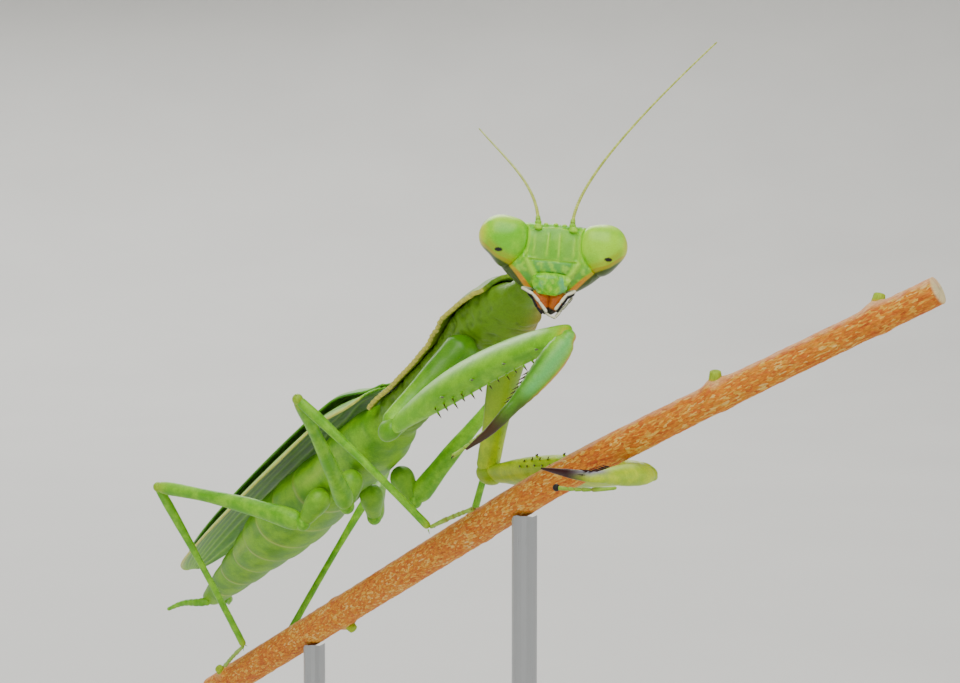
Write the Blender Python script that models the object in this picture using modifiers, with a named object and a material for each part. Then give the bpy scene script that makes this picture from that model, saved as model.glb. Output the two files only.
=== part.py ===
"""Praying mantis, life-size still model: an adult green mantid climbing a cut stem.

Millimetres are used throughout and turned to metres when a mesh is finished.
+Z is up and the animal heads towards -Y, so +X is its left side.  Positions are
measured from the front end of the prothorax (the neck joint), which PLACE then
puts above the middle of the base.
"""
from math import cos, pi, radians, sin, sqrt

import bmesh
import bpy
from mathutils import Matrix, Vector

# ---------------------------------------------------------------- driving sizes
MM = 0.001
GAP = 0.2                      # clearance between neighbouring solids
JOINT_INSET = 0.45             # how far past its joint a leg segment begins
PLACE = Vector((-0.7, -11.9, 40.3))   # the neck joint, above the underside of the base

HEAD_WIDTH = 8.5               # over the eyes
HEAD_AT = Vector((-0.35, -4.45, 2.75))
HEAD_TURN = radians(-30)       # the head looks back over the right shoulder
HEAD_NOD = radians(-4)
HEAD_ROLL = radians(5.5)

PROTHORAX_LENGTH = 17.5
PROTHORAX_PITCH = radians(30)  # each stretch of the trunk drops away at its own pitch
PTEROTHORAX_LENGTH = 8.5
PTEROTHORAX_PITCH = radians(26)
ABDOMEN_LENGTH = 26.0
ABDOMEN_PITCH = radians(29)
SHEET = 0.5                    # thickness of wings and of the pronotum's shield
FEELER = 0.25                  # least radius of a feeler, foot or palp

STEM_REAR = Vector((-0.25, 44.5, -31.95))
STEM_MIDDLE = Vector((-0.25, -6.6, -9.3))
STEM_FRONT = Vector((10.5, -24.7, 1.2))
STEM_RADII = (1.12, 1.05, 0.8)

BASE_SIZE = (36.0, 62.0, 4.0)
BASE_CORNER = 5.0
ROD_RADIUS = 0.75
ROD_PLACES = {"front": -1.2, "rear": 27.0}    # how far behind the neck joint

GREEN = (0.28, 0.50, 0.06)
PALE_GREEN = (0.36, 0.58, 0.22)
EYE_GREEN = (0.34, 0.60, 0.03)
OLIVE = (0.16, 0.30, 0.03)
WING_GREEN = (0.20, 0.42, 0.05)
STRAW = (0.52, 0.54, 0.16)
ORANGE = (0.62, 0.16, 0.02)
CREAM = (0.72, 0.70, 0.52)
BARK = (0.52, 0.20, 0.07)
STEEL = (0.55, 0.56, 0.57)
BASE_WHITE = (0.80, 0.79, 0.76)

for old in list(bpy.data.objects):
    bpy.data.objects.remove(old, do_unlink=True)

mantis = bpy.data.collections.new("praying_mantis")
cutters = bpy.data.collections.new("cutters")
bpy.context.scene.collection.children.link(mantis)
bpy.context.scene.collection.children.link(cutters)


# ---------------------------------------------------------------- small helpers
def finish_material(name, colour, roughness=0.45, metallic=0.0):
    material = bpy.data.materials.new(name)
    material.use_nodes = True
    shader = material.node_tree.nodes["Principled BSDF"]
    shader.inputs["Base Color"].default_value = (*colour, 1.0)
    shader.inputs["Roughness"].default_value = roughness
    shader.inputs["Metallic"].default_value = metallic
    return material


def place_mesh(name, bm, colour, roughness=0.45, metallic=0.0, collection=None):
    """Turn a millimetre bmesh into a placed, smooth-shaded object."""
    bmesh.ops.recalc_face_normals(bm, faces=bm.faces)
    bm.transform(Matrix.Scale(MM, 4) @ Matrix.Translation(PLACE))
    mesh = bpy.data.meshes.new(name)
    bm.to_mesh(mesh)
    bm.free()
    mesh.shade_smooth()
    mesh.set_sharp_from_angle(angle=radians(45))
    mesh.materials.append(finish_material(name, colour, roughness, metallic))
    thing = bpy.data.objects.new(name, mesh)
    (collection or mantis).objects.link(thing)
    return thing


def bed_on(thing, *cutting):
    """Cut a piece to sit against its neighbours; each cutter is a neighbour plus GAP."""
    for cutter in cutting:
        cutter.hide_render = True
        cutter.display_type = "WIRE"
        cut = thing.modifiers.new(f"bed_{cutter.name}", "BOOLEAN")
        cut.operation = "DIFFERENCE"
        cut.object = cutter


def mix(a, b, share):
    return a + (b - a) * share


def bezier(points, share):
    """Point on the smooth curve that the control points pull along (de Casteljau)."""
    points = list(points)
    while len(points) > 1:
        points = [mix(a, b, share) for a, b in zip(points, points[1:])]
    return points[0]


def smooth_path(controls, count):
    return [bezier(controls, i / (count - 1)) for i in range(count)]


def section_axes(direction, up):
    """Side and upright axes of a cross-section at right angles to the direction."""
    forward = direction.normalized()
    side = forward.cross(up).normalized()
    return side, side.cross(forward)


def sleeve(bm, path, half_sizes, up, sides=8, turn=0.0):
    """Loft elliptical rings along a path; half_sizes gives (side, upright) at each."""
    rings = []
    for i, centre in enumerate(path):
        ahead = path[min(i + 1, len(path) - 1)] - path[max(i - 1, 0)]
        side, upright = section_axes(ahead, up)
        half_side, half_up = half_sizes[i]
        if not rings:
            circle = bmesh.ops.create_circle(bm, cap_ends=True, segments=sides, radius=1.0)
            ring = circle["verts"]
        else:
            edges = [edge for edge in bm.edges if all(v in rings[-1] for v in edge.verts)]
            grown = bmesh.ops.extrude_edge_only(bm, edges=edges)["geom"]
            fresh = {v for v in grown if isinstance(v, bmesh.types.BMVert)}
            ring = [next(edge.other_vert(v) for edge in v.link_edges
                         if edge.other_vert(v) in fresh) for v in rings[-1]]
        for n, vert in enumerate(ring):
            angle = 2 * pi * n / sides + turn
            vert.co = centre + side * half_side * cos(angle) + upright * half_up * sin(angle)
        rings.append(ring)
    edges = [edge for edge in bm.edges if all(v in rings[-1] for v in edge.verts)]
    bmesh.ops.edgeloop_fill(bm, edges=edges)
    return rings


def grown_cutter(name, path, half_sizes, up, sides=8, turn=0.0):
    """The same loft with the clearance added all round, to bed its neighbours on."""
    first, last = (path[0] - path[1]).normalized(), (path[-1] - path[-2]).normalized()
    path = [path[0] + first * GAP, *path[1:-1], path[-1] + last * GAP]
    bm = bmesh.new()
    sleeve(bm, path, [(a + GAP, b + GAP) for a, b in half_sizes], up, sides=sides, turn=turn)
    return place_mesh(f"bed_{name}", bm, GREEN, collection=cutters)


def profile_at(profile, share):
    """Half sizes read from (share, side, upright) rows, eased between the rows."""
    for (s0, a0, b0), (s1, a1, b1) in zip(profile, profile[1:]):
        if share <= s1:
            t = (share - s0) / (s1 - s0)
            t = t * t * (3 - 2 * t)
            return a0 + (a1 - a0) * t, b0 + (b1 - b0) * t
    return profile[-1][1:]


def dressed_path(start, end, profile, bow=Vector(), start_trim=0.0, end_trim=0.0):
    """Points and half sizes at the profile's own shares, bowed sideways by a vector."""
    along = (end - start).normalized()
    start, end = start + along * start_trim, end - along * end_trim
    shares = [row[0] for row in profile]
    path = [mix(start, end, s) + bow * 4 * s * (1 - s) for s in shares]
    return path, [row[1:] for row in profile]


def tube(name, points, radii, colour, roughness=0.45, metallic=0.0, resolution=2):
    """A round wire through the points, with a radius at each and closed ends."""
    curve = bpy.data.curves.new(name, "CURVE")
    curve.dimensions = "3D"
    curve.bevel_depth = MM
    curve.bevel_resolution = resolution
    curve.use_fill_caps = True
    spline = curve.splines.new("POLY")
    spline.points.add(len(points) - 1)
    for point, place, radius in zip(spline.points, points, radii):
        point.co = (*((place + PLACE) * MM), 1.0)
        point.radius = radius
    spline.use_smooth = True
    curve.materials.append(finish_material(name, colour, roughness, metallic))
    thing = bpy.data.objects.new(name, curve)
    mantis.objects.link(thing)
    return thing


# ---------------------------------------------------------------- trunk
def down_and_back(length, pitch):
    return Vector((0, length * cos(pitch), -length * sin(pitch)))


NECK_JOINT = Vector((0, 0, 0))
WAIST = NECK_JOINT + down_and_back(PROTHORAX_LENGTH, PROTHORAX_PITCH)
ABDOMEN_FRONT = WAIST + down_and_back(PTEROTHORAX_LENGTH, PTEROTHORAX_PITCH)
TAIL = ABDOMEN_FRONT + down_and_back(ABDOMEN_LENGTH, ABDOMEN_PITCH)
UP = Vector((0, 0, 1))
SHIELD_REACH = radians(64)     # how far the prothorax's shield comes round each flank

ABDOMEN_RINGS = 8
ABDOMEN_HALF = (2.55, 2.0)     # half width and half height at its widest ring


def abdomen_girth(share):
    """Widest a third of the way back, then narrowing ever faster to the tail."""
    return (1 - 1.38 * max(0.0, share - 0.3) ** 2) * (0.92 + 0.18 * sin(pi * min(1.0, share * 1.6)))


def build_trunk():
    """Neck, prothorax with its shield, pterothorax, ringed abdomen and cerci."""
    back_of_head = HEAD_FRAME @ Vector((0.1, 2.2, -0.7))
    path = smooth_path([back_of_head, mix(back_of_head, NECK_JOINT, 0.5) + UP * 0.1,
                        NECK_JOINT + Vector((0, -2 * GAP, 0.15))], 4)
    bm = bmesh.new()
    sleeve(bm, path, [(0.8, 0.75), (1.0, 0.9), (1.1, 0.9), (1.1, 0.85)], UP, sides=10)
    place_mesh("neck", bm, OLIVE)

    # the shoulders, a quarter of the way back, are the widest place
    profile = [(0.0, 1.3, 1.0), (0.05, 1.65, 1.35), (0.14, 1.95, 1.5), (0.24, 2.15, 1.5),
               (0.34, 1.85, 1.35), (0.46, 1.5, 1.2), (0.62, 1.4, 1.15), (0.8, 1.4, 1.2),
               (0.93, 1.55, 1.35), (1.0, 1.5, 1.3)]
    beds = {"prothorax": build_trunk_piece("prothorax", NECK_JOINT, WAIST, profile, OLIVE, 12)}
    build_pronotum(profile)

    profile = [(0.0, 1.5, 1.35), (0.12, 1.95, 1.7), (0.35, 2.35, 2.05), (0.7, 2.5, 2.15),
               (1.0, 2.35, 1.95)]
    beds["pterothorax"] = build_trunk_piece("pterothorax", WAIST, ABDOMEN_FRONT, profile, GREEN, 14)

    # each ring of the abdomen swells a little and overlaps the next one
    profile = []
    for ring in range(ABDOMEN_RINGS):
        for local, swell in ((0.0, 0.96), (0.55, 1.03), (0.96, 1.02)):
            share = (ring + local) / ABDOMEN_RINGS
            size = abdomen_girth(share) * swell
            profile.append((share, ABDOMEN_HALF[0] * size, ABDOMEN_HALF[1] * size))
    profile.append((1.0, 0.75, 0.6))
    beds["abdomen"] = build_trunk_piece("abdomen", ABDOMEN_FRONT, TAIL, profile, GREEN, 14)

    for side, hand in ((1, "left"), (-1, "right")):
        root = TAIL + Vector((side * 1.25, -0.6, -0.1))
        tip = root + Vector((side * 1.3, 3.1, -0.9))
        tube(f"cercus_{hand}", smooth_path([root, mix(root, tip, 0.5) + UP * 0.3, tip], 5),
             [0.42, 0.42, 0.38, 0.32, 0.25], GREEN)
    return beds


def build_trunk_piece(name, front, rear, profile, colour, sides):
    """One stretch of the trunk, and the cutter that the leg roots are bedded on."""
    path, sizes = dressed_path(front, rear, profile, Vector(), GAP / 2, GAP / 2)
    bm = bmesh.new()
    sleeve(bm, path, sizes, UP, sides=sides)
    place_mesh(name, bm, colour)
    return grown_cutter(name, path, sizes, UP, sides=sides)


def build_pronotum(body_profile):
    """The shield over the prothorax: an arched sheet whose flange stands out each side."""
    forward = down_and_back(1.0, PROTHORAX_PITCH)
    side, upright = section_axes(forward, UP)
    steps, across, flange = 14, 8, 0.55
    bm = bmesh.new()
    bmesh.ops.create_grid(bm, x_segments=across, y_segments=steps, size=1.0)
    for vert in bm.verts:
        share = min(1.0, max(0.0, vert.co.y / 2 + 0.5))
        half_side, half_up = profile_at(body_profile, share)
        angle = vert.co.x * SHIELD_REACH
        reach_side = half_side + GAP + SHEET / 2 + flange * abs(vert.co.x) ** 3
        reach_up = half_up + GAP + SHEET / 2
        vert.co = (mix(NECK_JOINT, WAIST, 0.02 + 0.95 * share)
                   + side * reach_side * sin(angle) + upright * reach_up * cos(angle))
    shield = place_mesh("pronotum", bm, GREEN)
    add_thickness(shield, SHEET)


def add_thickness(thing, thickness):
    solid = thing.modifiers.new("thickness", "SOLIDIFY")
    solid.thickness = thickness * MM
    solid.offset = 0.0


# ---------------------------------------------------------------- wings
WING_ROOT = Vector((0, 16.4, -5.95))
WING_RUN = 32.5                # how far back the tips reach
WING_SLOPE, WING_SAG = 0.46, 0.0024
WING_OUTER, WING_INNER = 3.75, 2.4    # from the ridge to the outer edge, and to the inner
WING_ROOF = 0.15               # how fast a wing drops away from its ridge


def wing_ridge(share, sink):
    """The line that the folded wings' backs follow, from the shoulders to the tips."""
    run = WING_RUN * share
    return WING_ROOT + Vector((0, run, -WING_SLOPE * run - WING_SAG * run * run - sink))


def build_tegmen(hand, side, sink):
    """One leathery forewing, folded flat over the back and roofed down at its edge."""
    steps, across = 18, 7
    bm = bmesh.new()
    bmesh.ops.create_grid(bm, x_segments=across, y_segments=steps, size=1.0)
    for vert in bm.verts:
        share = vert.co.y / 2 + 0.5
        spread = vert.co.x / 2 + 0.5
        # both edges spread from the shoulder and close in a round tip
        taper = sqrt(max(0.0, 1 - (max(0.0, share - 0.55) / 0.452) ** 2))
        outer = WING_OUTER * (0.55 + 0.45 * min(1.0, share / 0.28) ** 0.7) * taper
        inner = -WING_INNER * min(1.0, 0.25 + share / 0.3) * taper
        out_mm = mix(inner, outer, spread)
        ridge = wing_ridge(share, sink + WING_ROOF * out_mm ** 2)
        vert.co = ridge + Vector((side * out_mm, 0, 0))
    tegmen = place_mesh(f"tegmen_{hand}", bm, WING_GREEN)
    add_thickness(tegmen, SHEET)


# ---------------------------------------------------------------- head
HEAD_FRAME = (Matrix.Translation(HEAD_AT) @ Matrix.Rotation(HEAD_TURN, 4, "Z")
              @ Matrix.Rotation(HEAD_NOD, 4, "X") @ Matrix.Rotation(HEAD_ROLL, 4, "Y"))

EYE_HALF = Vector((1.33, 1.4, 1.55))
EYE_CENTRE = Vector((HEAD_WIDTH / 2 - 1.36, 0.1, 0.3))
EYE_LEAN = radians(20)


def eye_matrix(side, grow=0.0):
    """The eye's ellipsoid, its top leaning outwards."""
    centre = Vector((side * EYE_CENTRE.x, EYE_CENTRE.y, EYE_CENTRE.z))
    half = EYE_HALF + Vector((grow, grow, grow))
    return (HEAD_FRAME @ Matrix.Translation(centre) @ Matrix.Rotation(side * EYE_LEAN, 4, "Y")
            @ Matrix.Diagonal((*half, 1.0)))


def egg(bm, matrix, narrow):
    """A sphere drawn in towards its lower end, then set in its place."""
    ball = bmesh.ops.create_uvsphere(bm, u_segments=16, v_segments=12, radius=1.0)
    for vert in ball["verts"]:
        shrink = 1 - narrow * max(0.0, -vert.co.z) ** 1.5
        vert.co.x *= shrink
        vert.co.y *= shrink
        vert.co = matrix @ vert.co


def sleeve_rows(bm, rows, sides):
    """Loft (place, (half width, half depth)) rows of the head's frame, and set them in it."""
    sleeve(bm, [Vector(place) for place, _ in rows], [half for _, half in rows], Vector((0, 1, 0)),
           sides=sides)
    bm.transform(HEAD_FRAME)


def build_head():
    """Capsule, eyes, antennae and mouthparts, all laid out in the head's own frame."""
    def capsule_row(height, half_wide, half_deep, back):
        return (0, back, height), (half_wide, half_deep)

    rows = [capsule_row(1.62, 1.45, 0.55, 0.3), capsule_row(1.45, 2.1, 0.95, 0.25),
            capsule_row(1.0, 2.5, 1.25, 0.25), capsule_row(0.3, 2.7, 1.4, 0.25),
            capsule_row(-0.5, 2.95, 1.4, 0.25), capsule_row(-1.0, 3.0, 1.3, 0.25),
            capsule_row(-1.45, 2.6, 1.15, 0.25), capsule_row(-1.85, 2.1, 1.0, 0.25),
            capsule_row(-2.2, 1.5, 0.85, 0.25), capsule_row(-2.35, 1.05, 0.65, 0.25)]
    bm = bmesh.new()
    sleeve_rows(bm, rows, sides=18)
    head = place_mesh("head", bm, PALE_GREEN)

    for side, hand in ((1, "left"), (-1, "right")):
        bm = bmesh.new()
        egg(bm, eye_matrix(side), 0.2)
        place_mesh(f"eye_{hand}", bm, EYE_GREEN, roughness=0.25)
        bm = bmesh.new()
        egg(bm, eye_matrix(side, GAP * 0.8), 0.2)
        socket = place_mesh(f"socket_{hand}", bm, EYE_GREEN, collection=cutters)
        bed_on(head, socket)
        build_antenna(side, hand)
        build_jaw(side, hand)

    labrum = bmesh.new()
    rows = [((0, -1.28, -0.95), (1.15, 0.25)), ((0, -1.42, -1.35), (1.1, 0.3)),
            ((0, -1.38, -1.85), (0.95, 0.3)), ((0, -1.25, -2.25), (0.65, 0.28)),
            ((0, -1.15, -2.42), (0.4, 0.25))]
    sleeve_rows(labrum, rows, sides=12)
    place_mesh("labrum", labrum, PALE_GREEN)

    labium = bmesh.new()
    rows = [((0, 0.35, -2.6), (0.6, 0.3)), ((0, 0.3, -2.9), (0.55, 0.3)),
            ((0, 0.15, -3.35), (0.3, 0.25))]
    sleeve_rows(labium, rows, sides=10)
    place_mesh("labium", labium, OLIVE)


def build_antenna(side, hand):
    """A thread-like antenna; the right one sweeps back, the left one up and outwards."""
    reach = {"left": [(0.95, -1.25, 1.25), (0.6, -0.9, 3.4), (3.6, 2.0, 7.7), (8.56, 5.0, 13.44)],
             "right": [(-1.0, -1.25, 1.2), (-1.0, -0.6, 3.6), (-3.0, 4.5, 5.2),
                       (-4.94, 10.0, 7.5)]}[hand]
    points = smooth_path([HEAD_FRAME @ Vector(point) for point in reach], 13)
    radii = [0.3, 0.29] + [FEELER] * (len(points) - 2)    # the first links are stouter
    tube(f"antenna_{hand}", points, radii, STRAW)


def build_jaw(side, hand):
    """One mandible and the jointed palp that hangs outside it."""
    bm = bmesh.new()
    rows = [((0.52, -0.75, -2.58), (0.38, 0.4)), ((0.48, -0.8, -2.9), (0.34, 0.38)),
            ((0.38, -0.8, -3.2), (0.26, 0.3)), ((0.3, -0.75, -3.45), (0.15, 0.2))]
    sleeve_rows(bm, [((side * x, y, z), half) for (x, y, z), half in rows], sides=8)
    place_mesh(f"mandible_{hand}", bm, ORANGE)

    reach = [(1.75, -1.1, -2.3), (1.35, -1.5, -2.75), (0.9, -1.55, -3.2), (0.42, -1.45, -3.75)]
    points = smooth_path([HEAD_FRAME @ Vector((side * x, y, z)) for x, y, z in reach], 6)
    tube(f"palp_{hand}", points, [FEELER] * 6, CREAM)


# ---------------------------------------------------------------- legs
FORE_COXA = [(0.0, 0.95, 0.95), (0.12, 1.15, 1.1), (0.35, 0.95, 1.0), (0.7, 0.75, 0.85),
             (0.92, 0.72, 0.8), (1.0, 0.5, 0.6)]
WALKING_COXA = [(0.0, 0.8, 0.8), (0.3, 0.85, 0.85), (1.0, 0.5, 0.5)]
THIGH = [(0.0, 0.5, 0.55), (0.08, 0.66, 0.72), (0.3, 0.5, 0.6), (0.7, 0.38, 0.42),
         (0.92, 0.4, 0.45), (1.0, 0.32, 0.36)]
SHANK = [(0.0, 0.34, 0.36), (0.1, 0.36, 0.4), (0.5, 0.29, 0.3), (0.9, 0.3, 0.32), (1.0, 0.26, 0.28)]
FEMUR_FLATNESS = 0.6           # half width of the grasping femur, in its half depths
TIBIA_DEPTHS = [(0.0, 0.45), (0.1, 0.68), (0.2, 0.78), (0.3, 0.8), (0.4, 0.78), (0.5, 0.74), (0.6, 0.68),
                (0.7, 0.6), (0.8, 0.5), (0.9, 0.41), (1.0, 0.34)]
# a row of spines: the side of the loft, its first and last ring, the longest spine
FEMUR_SPINES = [(5, 4, 11, 0.8), (6, 3, 7, 1.1)]
TIBIA_SPINES = [(5, 4, 10, 0.36), (6, 4, 10, 0.36)]


def segment(name, start, end, profile, up, colour, bow=Vector(), sides=8, followed=True):
    """A leg segment between two joints, and the cutter that the next one is bedded on."""
    path, sizes = dressed_path(start, end, profile, bow, JOINT_INSET)
    bm = bmesh.new()
    sleeve(bm, path, sizes, up, sides=sides)
    thing = place_mesh(name, bm, colour)
    if not followed:
        return thing, None
    return thing, grown_cutter(name, path, sizes, up, sides=sides)


def square_to(axis, towards):
    """The direction nearest to one vector that stands square to another."""
    axis = axis.normalized()
    return (towards - axis * towards.dot(axis)).normalized()


def raptorial_profile(steps=13, thickest=1.35, ends=0.62):
    """Half depth along the grasping femur: a quick swell, then a long taper."""
    rows = []
    for step in range(steps + 1):
        share = step / steps
        swell = sin(pi * share / 0.8) if share < 0.4 else cos(pi * (share - 0.4) / 1.2) ** 0.8
        rows.append((share, mix(ends, thickest, swell)))
    return rows


def spiny_segment(name, start, end, half_depths, flatness, biting, colour, spines, bow, claw=None):
    """A grasping segment whose biting side carries two rows of spines.

    half_depths holds (share, half depth) rows, biting is the direction that the spines
    point, and spines holds for each row its side, first and last ring and its lengths.
    """
    profile = [(share, depth * flatness, depth) for share, depth in half_depths]
    path, sizes = dressed_path(start, end, profile, bow, JOINT_INSET)
    along = (end - start).normalized()
    bm = bmesh.new()
    rings = sleeve(bm, path, sizes, -biting, sides=8, turn=pi / 8)
    # with an eighth of a turn, faces 5 and 6 lie on the two sides of the biting edge
    for column, first, last, longest in spines:
        for ring in range(first, last):
            corners = {rings[ring][column], rings[ring][column + 1],
                       rings[ring + 1][column], rings[ring + 1][column + 1]}
            face = next(f for f in bm.faces if len(corners & set(f.verts)) == 4)
            length = longest * (0.62 if (ring - first) % 2 else 1.0)
            outward = (face.calc_center_median() - mix(path[ring], path[ring + 1], 0.5)).normalized()
            lean = (outward * 0.5 + biting * 0.8 + along * 0.25).normalized()
            tip = face.calc_center_median() + lean * length
            bmesh.ops.inset_individual(bm, faces=[face], thickness=sqrt(face.calc_area()) * 0.24)
            drawn = bmesh.ops.extrude_discrete_faces(bm, faces=[face])["faces"][0]
            bmesh.ops.pointmerge(bm, verts=list(drawn.verts), merge_co=tip)
    if claw:
        end_face = max((f for f in bm.faces if len(f.verts) == 8),
                       key=lambda f: f.calc_center_median().dot(along))
        for place, shrink in claw:
            drawn = bmesh.ops.extrude_discrete_faces(bm, faces=[end_face])["faces"][0]
            middle = drawn.calc_center_median()
            for vert in drawn.verts:
                vert.co = place + (vert.co - middle) * shrink
            end_face = drawn
    thing = place_mesh(name, bm, colour)
    if claw:
        return thing, None
    return thing, grown_cutter(name, path, sizes, -biting, turn=pi / 8)


def build_foreleg(hand, body_bed, hip, trochanter, knee, wrist, claw_bend, claw_tip, foot, bow, tilt,
                  flatness):
    """A raptorial foreleg: stout coxa, deep spiny femur, and a tibia ending in a hook.

    The spines of the femur and the tibia point across the gap at each other, all turned
    upwards by the tilt.  The flatness is the tibia's half width in its half depths.
    """
    biting = square_to(knee - trochanter, (wrist - knee).normalized() + UP * tilt)
    tibia_biting = square_to(wrist - knee, (trochanter - knee).normalized() + UP * tilt)
    coxa, coxa_bed = segment(f"foreleg_{hand}_coxa", hip, trochanter, FORE_COXA, UP, OLIVE, sides=10)
    bed_on(coxa, body_bed)

    thigh, thigh_bed = spiny_segment(f"foreleg_{hand}_femur", trochanter, knee, raptorial_profile(),
                                     FEMUR_FLATNESS, biting, GREEN, FEMUR_SPINES, bow)
    bed_on(thigh, coxa_bed)

    hook = [(mix(wrist, claw_bend, 0.6), 0.8), (claw_bend, 0.7), (claw_tip, 0.2)]
    shank, _ = spiny_segment(f"foreleg_{hand}_tibia", knee, wrist, TIBIA_DEPTHS, flatness,
                             tibia_biting, PALE_GREEN, TIBIA_SPINES, bow * -0.3, hook)
    bed_on(shank, thigh_bed)
    build_foot(f"foreleg_{hand}", foot)


def build_foot(name, reach):
    """The tarsus: a thread of five short beads."""
    points = smooth_path(reach, 9)
    tube(f"{name}_tarsus", points, [FEELER, FEELER * 1.12] * 4 + [FEELER], STRAW)


def build_walking_leg(name, body_beds, hip, trochanter, knee, ankle, foot):
    """Coxa, femur, tibia and the jointed foot that lies along the stem."""
    coxa, coxa_bed = segment(f"{name}_coxa", hip, trochanter, WALKING_COXA, UP, GREEN)
    bed_on(coxa, *body_beds)
    thigh, thigh_bed = segment(f"{name}_femur", trochanter, knee, THIGH, UP, GREEN, bow=UP * 0.25)
    bed_on(thigh, coxa_bed)
    shank, _ = segment(f"{name}_tibia", knee, ankle, SHANK, UP, GREEN, followed=False)
    bed_on(shank, thigh_bed)
    build_foot(name, [mix(ankle, foot, 0.12), mix(ankle, foot, 0.5) + UP * 0.12, foot])


def build_legs(beds):
    """Three pairs: the grasping forelegs, and four legs that hold the stem behind."""
    build_foreleg("right", beds["prothorax"],
                  hip=Vector((-1.4, 2.9, -2.6)), trochanter=Vector((-6.5, 4.1, -7.9)),
                  knee=Vector((-1.75, -8.6, -1.55)), wrist=Vector((-5.0, -7.7, -5.6)),
                  claw_bend=Vector((-6.1, -7.2, -6.9)), claw_tip=Vector((-7.2, -6.5, -7.9)),
                  foot=[Vector((-4.5, -6.7, -6.0)), Vector((-5.8, -5.9, -7.3)),
                        Vector((-7.3, -5.2, -8.4))],
                  bow=Vector((0.0, 0.0, 0.65)), tilt=0.0, flatness=0.95)
    build_foreleg("left", beds["prothorax"],
                  hip=Vector((1.4, 3.2, -2.8)), trochanter=Vector((1.7, 6.6, -11.3)),
                  knee=Vector((3.25, -9.3, -9.5)), wrist=Vector((-2.05, -11.65, -9.2)),
                  claw_bend=Vector((-2.75, -10.8, -9.1)), claw_tip=Vector((-3.6, -8.5, -8.95)),
                  foot=[Vector((-1.1, -11.9, -9.8)), Vector((-2.3, -11.2, -10.0)),
                        Vector((-3.3, -9.6, -9.9))],
                  bow=Vector((0.3, 0, 0.1)), tilt=0.8, flatness=0.68)
    for side, hand in ((1, "left"), (-1, "right")):
        reach = 0.0 if hand == "left" else 1.6     # the right middle foot is a step ahead
        build_walking_leg(f"midleg_{hand}", [beds["pterothorax"]], Vector((side * 1.6, 18.3, -12.1)),
                          Vector((side * 2.5, 17.4, -14.3)),
                          Vector((side * (7.6 + 0.6 * reach), 13.6 - reach, -6.6)),
                          Vector((side * 1.85 - 0.25, 8.6 - reach, -15.1 + 0.45 * reach)),
                          Vector((side * 1.4 - 0.25, 4.0 - reach, -13.4 + 0.45 * reach)))
        reach = 0.0 if hand == "right" else 1.5    # the left hind foot is a step behind
        build_walking_leg(f"hindleg_{hand}", [beds["pterothorax"], beds["abdomen"]],
                          Vector((side * 1.7, 22.2, -13.9)), Vector((side * 2.7, 23.6, -16.2)),
                          Vector((side * 9.3, 33.0 + reach, -14.4)),
                          Vector((side * 1.85 - 0.25, 34.8 + reach, -26.6 - 0.45 * reach)),
                          Vector((side * 1.4 - 0.25, 39.2 + reach * 0.6, -28.9 - 0.3 * reach)))


# ---------------------------------------------------------------- perch and stand
def stem_path(count=27):
    """The cut stem: straight behind, bending towards the left ahead of the forelegs."""
    rear = [mix(STEM_REAR, STEM_MIDDLE, i / 12) for i in range(11)]
    bend = (STEM_MIDDLE - STEM_REAR).normalized()
    front = smooth_path([rear[-1] + bend * 1.8, STEM_MIDDLE + bend * 3.5,
                         mix(STEM_MIDDLE, STEM_FRONT, 0.45), STEM_FRONT], count - 11)
    return rear + front


def stem_radius(share):
    """The stem thins slowly to its middle, and faster beyond it."""
    rear, middle, front = STEM_RADII
    if share < 0.5:
        return mix(rear, middle, share * 2)
    return mix(middle, front, share * 2 - 1)


def build_perch():
    """The stem, and the cutter that the rods' heads are bedded on."""
    path = stem_path()
    radii = [stem_radius(i / (len(path) - 1)) for i in range(len(path))]
    tube("perch_stem", path, radii, BARK, roughness=0.8, resolution=4)
    return grown_cutter("stem", path, [(radius, radius) for radius in radii], UP, sides=12)


def build_stand(stem_bed):
    """A flat rounded base, and two rods whose heads are hollowed to cradle the stem."""
    floor = -PLACE.z
    top = floor + BASE_SIZE[2]
    bm = bmesh.new()
    bmesh.ops.create_cube(bm, size=1.0)
    for vert in bm.verts:
        vert.co = Vector((vert.co.x * BASE_SIZE[0] - PLACE.x, vert.co.y * BASE_SIZE[1] - PLACE.y,
                          floor + (vert.co.z + 0.5) * BASE_SIZE[2]))
    uprights = [e for e in bm.edges if abs(e.verts[0].co.z - e.verts[1].co.z) > 1]
    bmesh.ops.bevel(bm, geom=uprights, offset=BASE_CORNER, segments=6, profile=0.5,
                    affect="EDGES", material=-1)
    rim = [e for e in bm.edges if all(v.co.z > top - 0.01 for v in e.verts)]
    bmesh.ops.bevel(bm, geom=rim, offset=0.6, segments=2, profile=0.5, affect="EDGES", material=-1)
    place_mesh("stand_base", bm, BASE_WHITE, roughness=0.35)

    slope = (STEM_MIDDLE.z - STEM_REAR.z) / (STEM_MIDDLE.y - STEM_REAR.y)
    for name, back in ROD_PLACES.items():
        axis_height = STEM_REAR.z + slope * (back - STEM_REAR.y)
        length = axis_height - top - GAP
        bm = bmesh.new()
        middle = Matrix.Translation((STEM_REAR.x, back, axis_height - length / 2))
        bmesh.ops.create_cone(bm, cap_ends=True, segments=16, radius1=ROD_RADIUS, radius2=ROD_RADIUS,
                              depth=length, matrix=middle)
        rod = place_mesh(f"stand_rod_{name}", bm, STEEL, roughness=0.25, metallic=1.0)
        bed_on(rod, stem_bed)


leg_beds = build_trunk()
build_tegmen("right", -1, 0.0)
build_tegmen("left", 1, -1.5 * (SHEET + GAP))    # the left wing lies over the right one
build_head()
build_legs(leg_beds)
build_stand(build_perch())
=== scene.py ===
"""Praying mantis on a cut stem: the looks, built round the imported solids.

Every shape is laid out in millimetres from the neck joint, with +X the animal's left,
+Y back and +Z up, and is turned to metres when its piece is finished.
"""

from math import atan2, cos, exp, pi, radians, sin, sqrt, tau

import bmesh
import bpy
from mathutils import Matrix, Vector, noise


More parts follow.
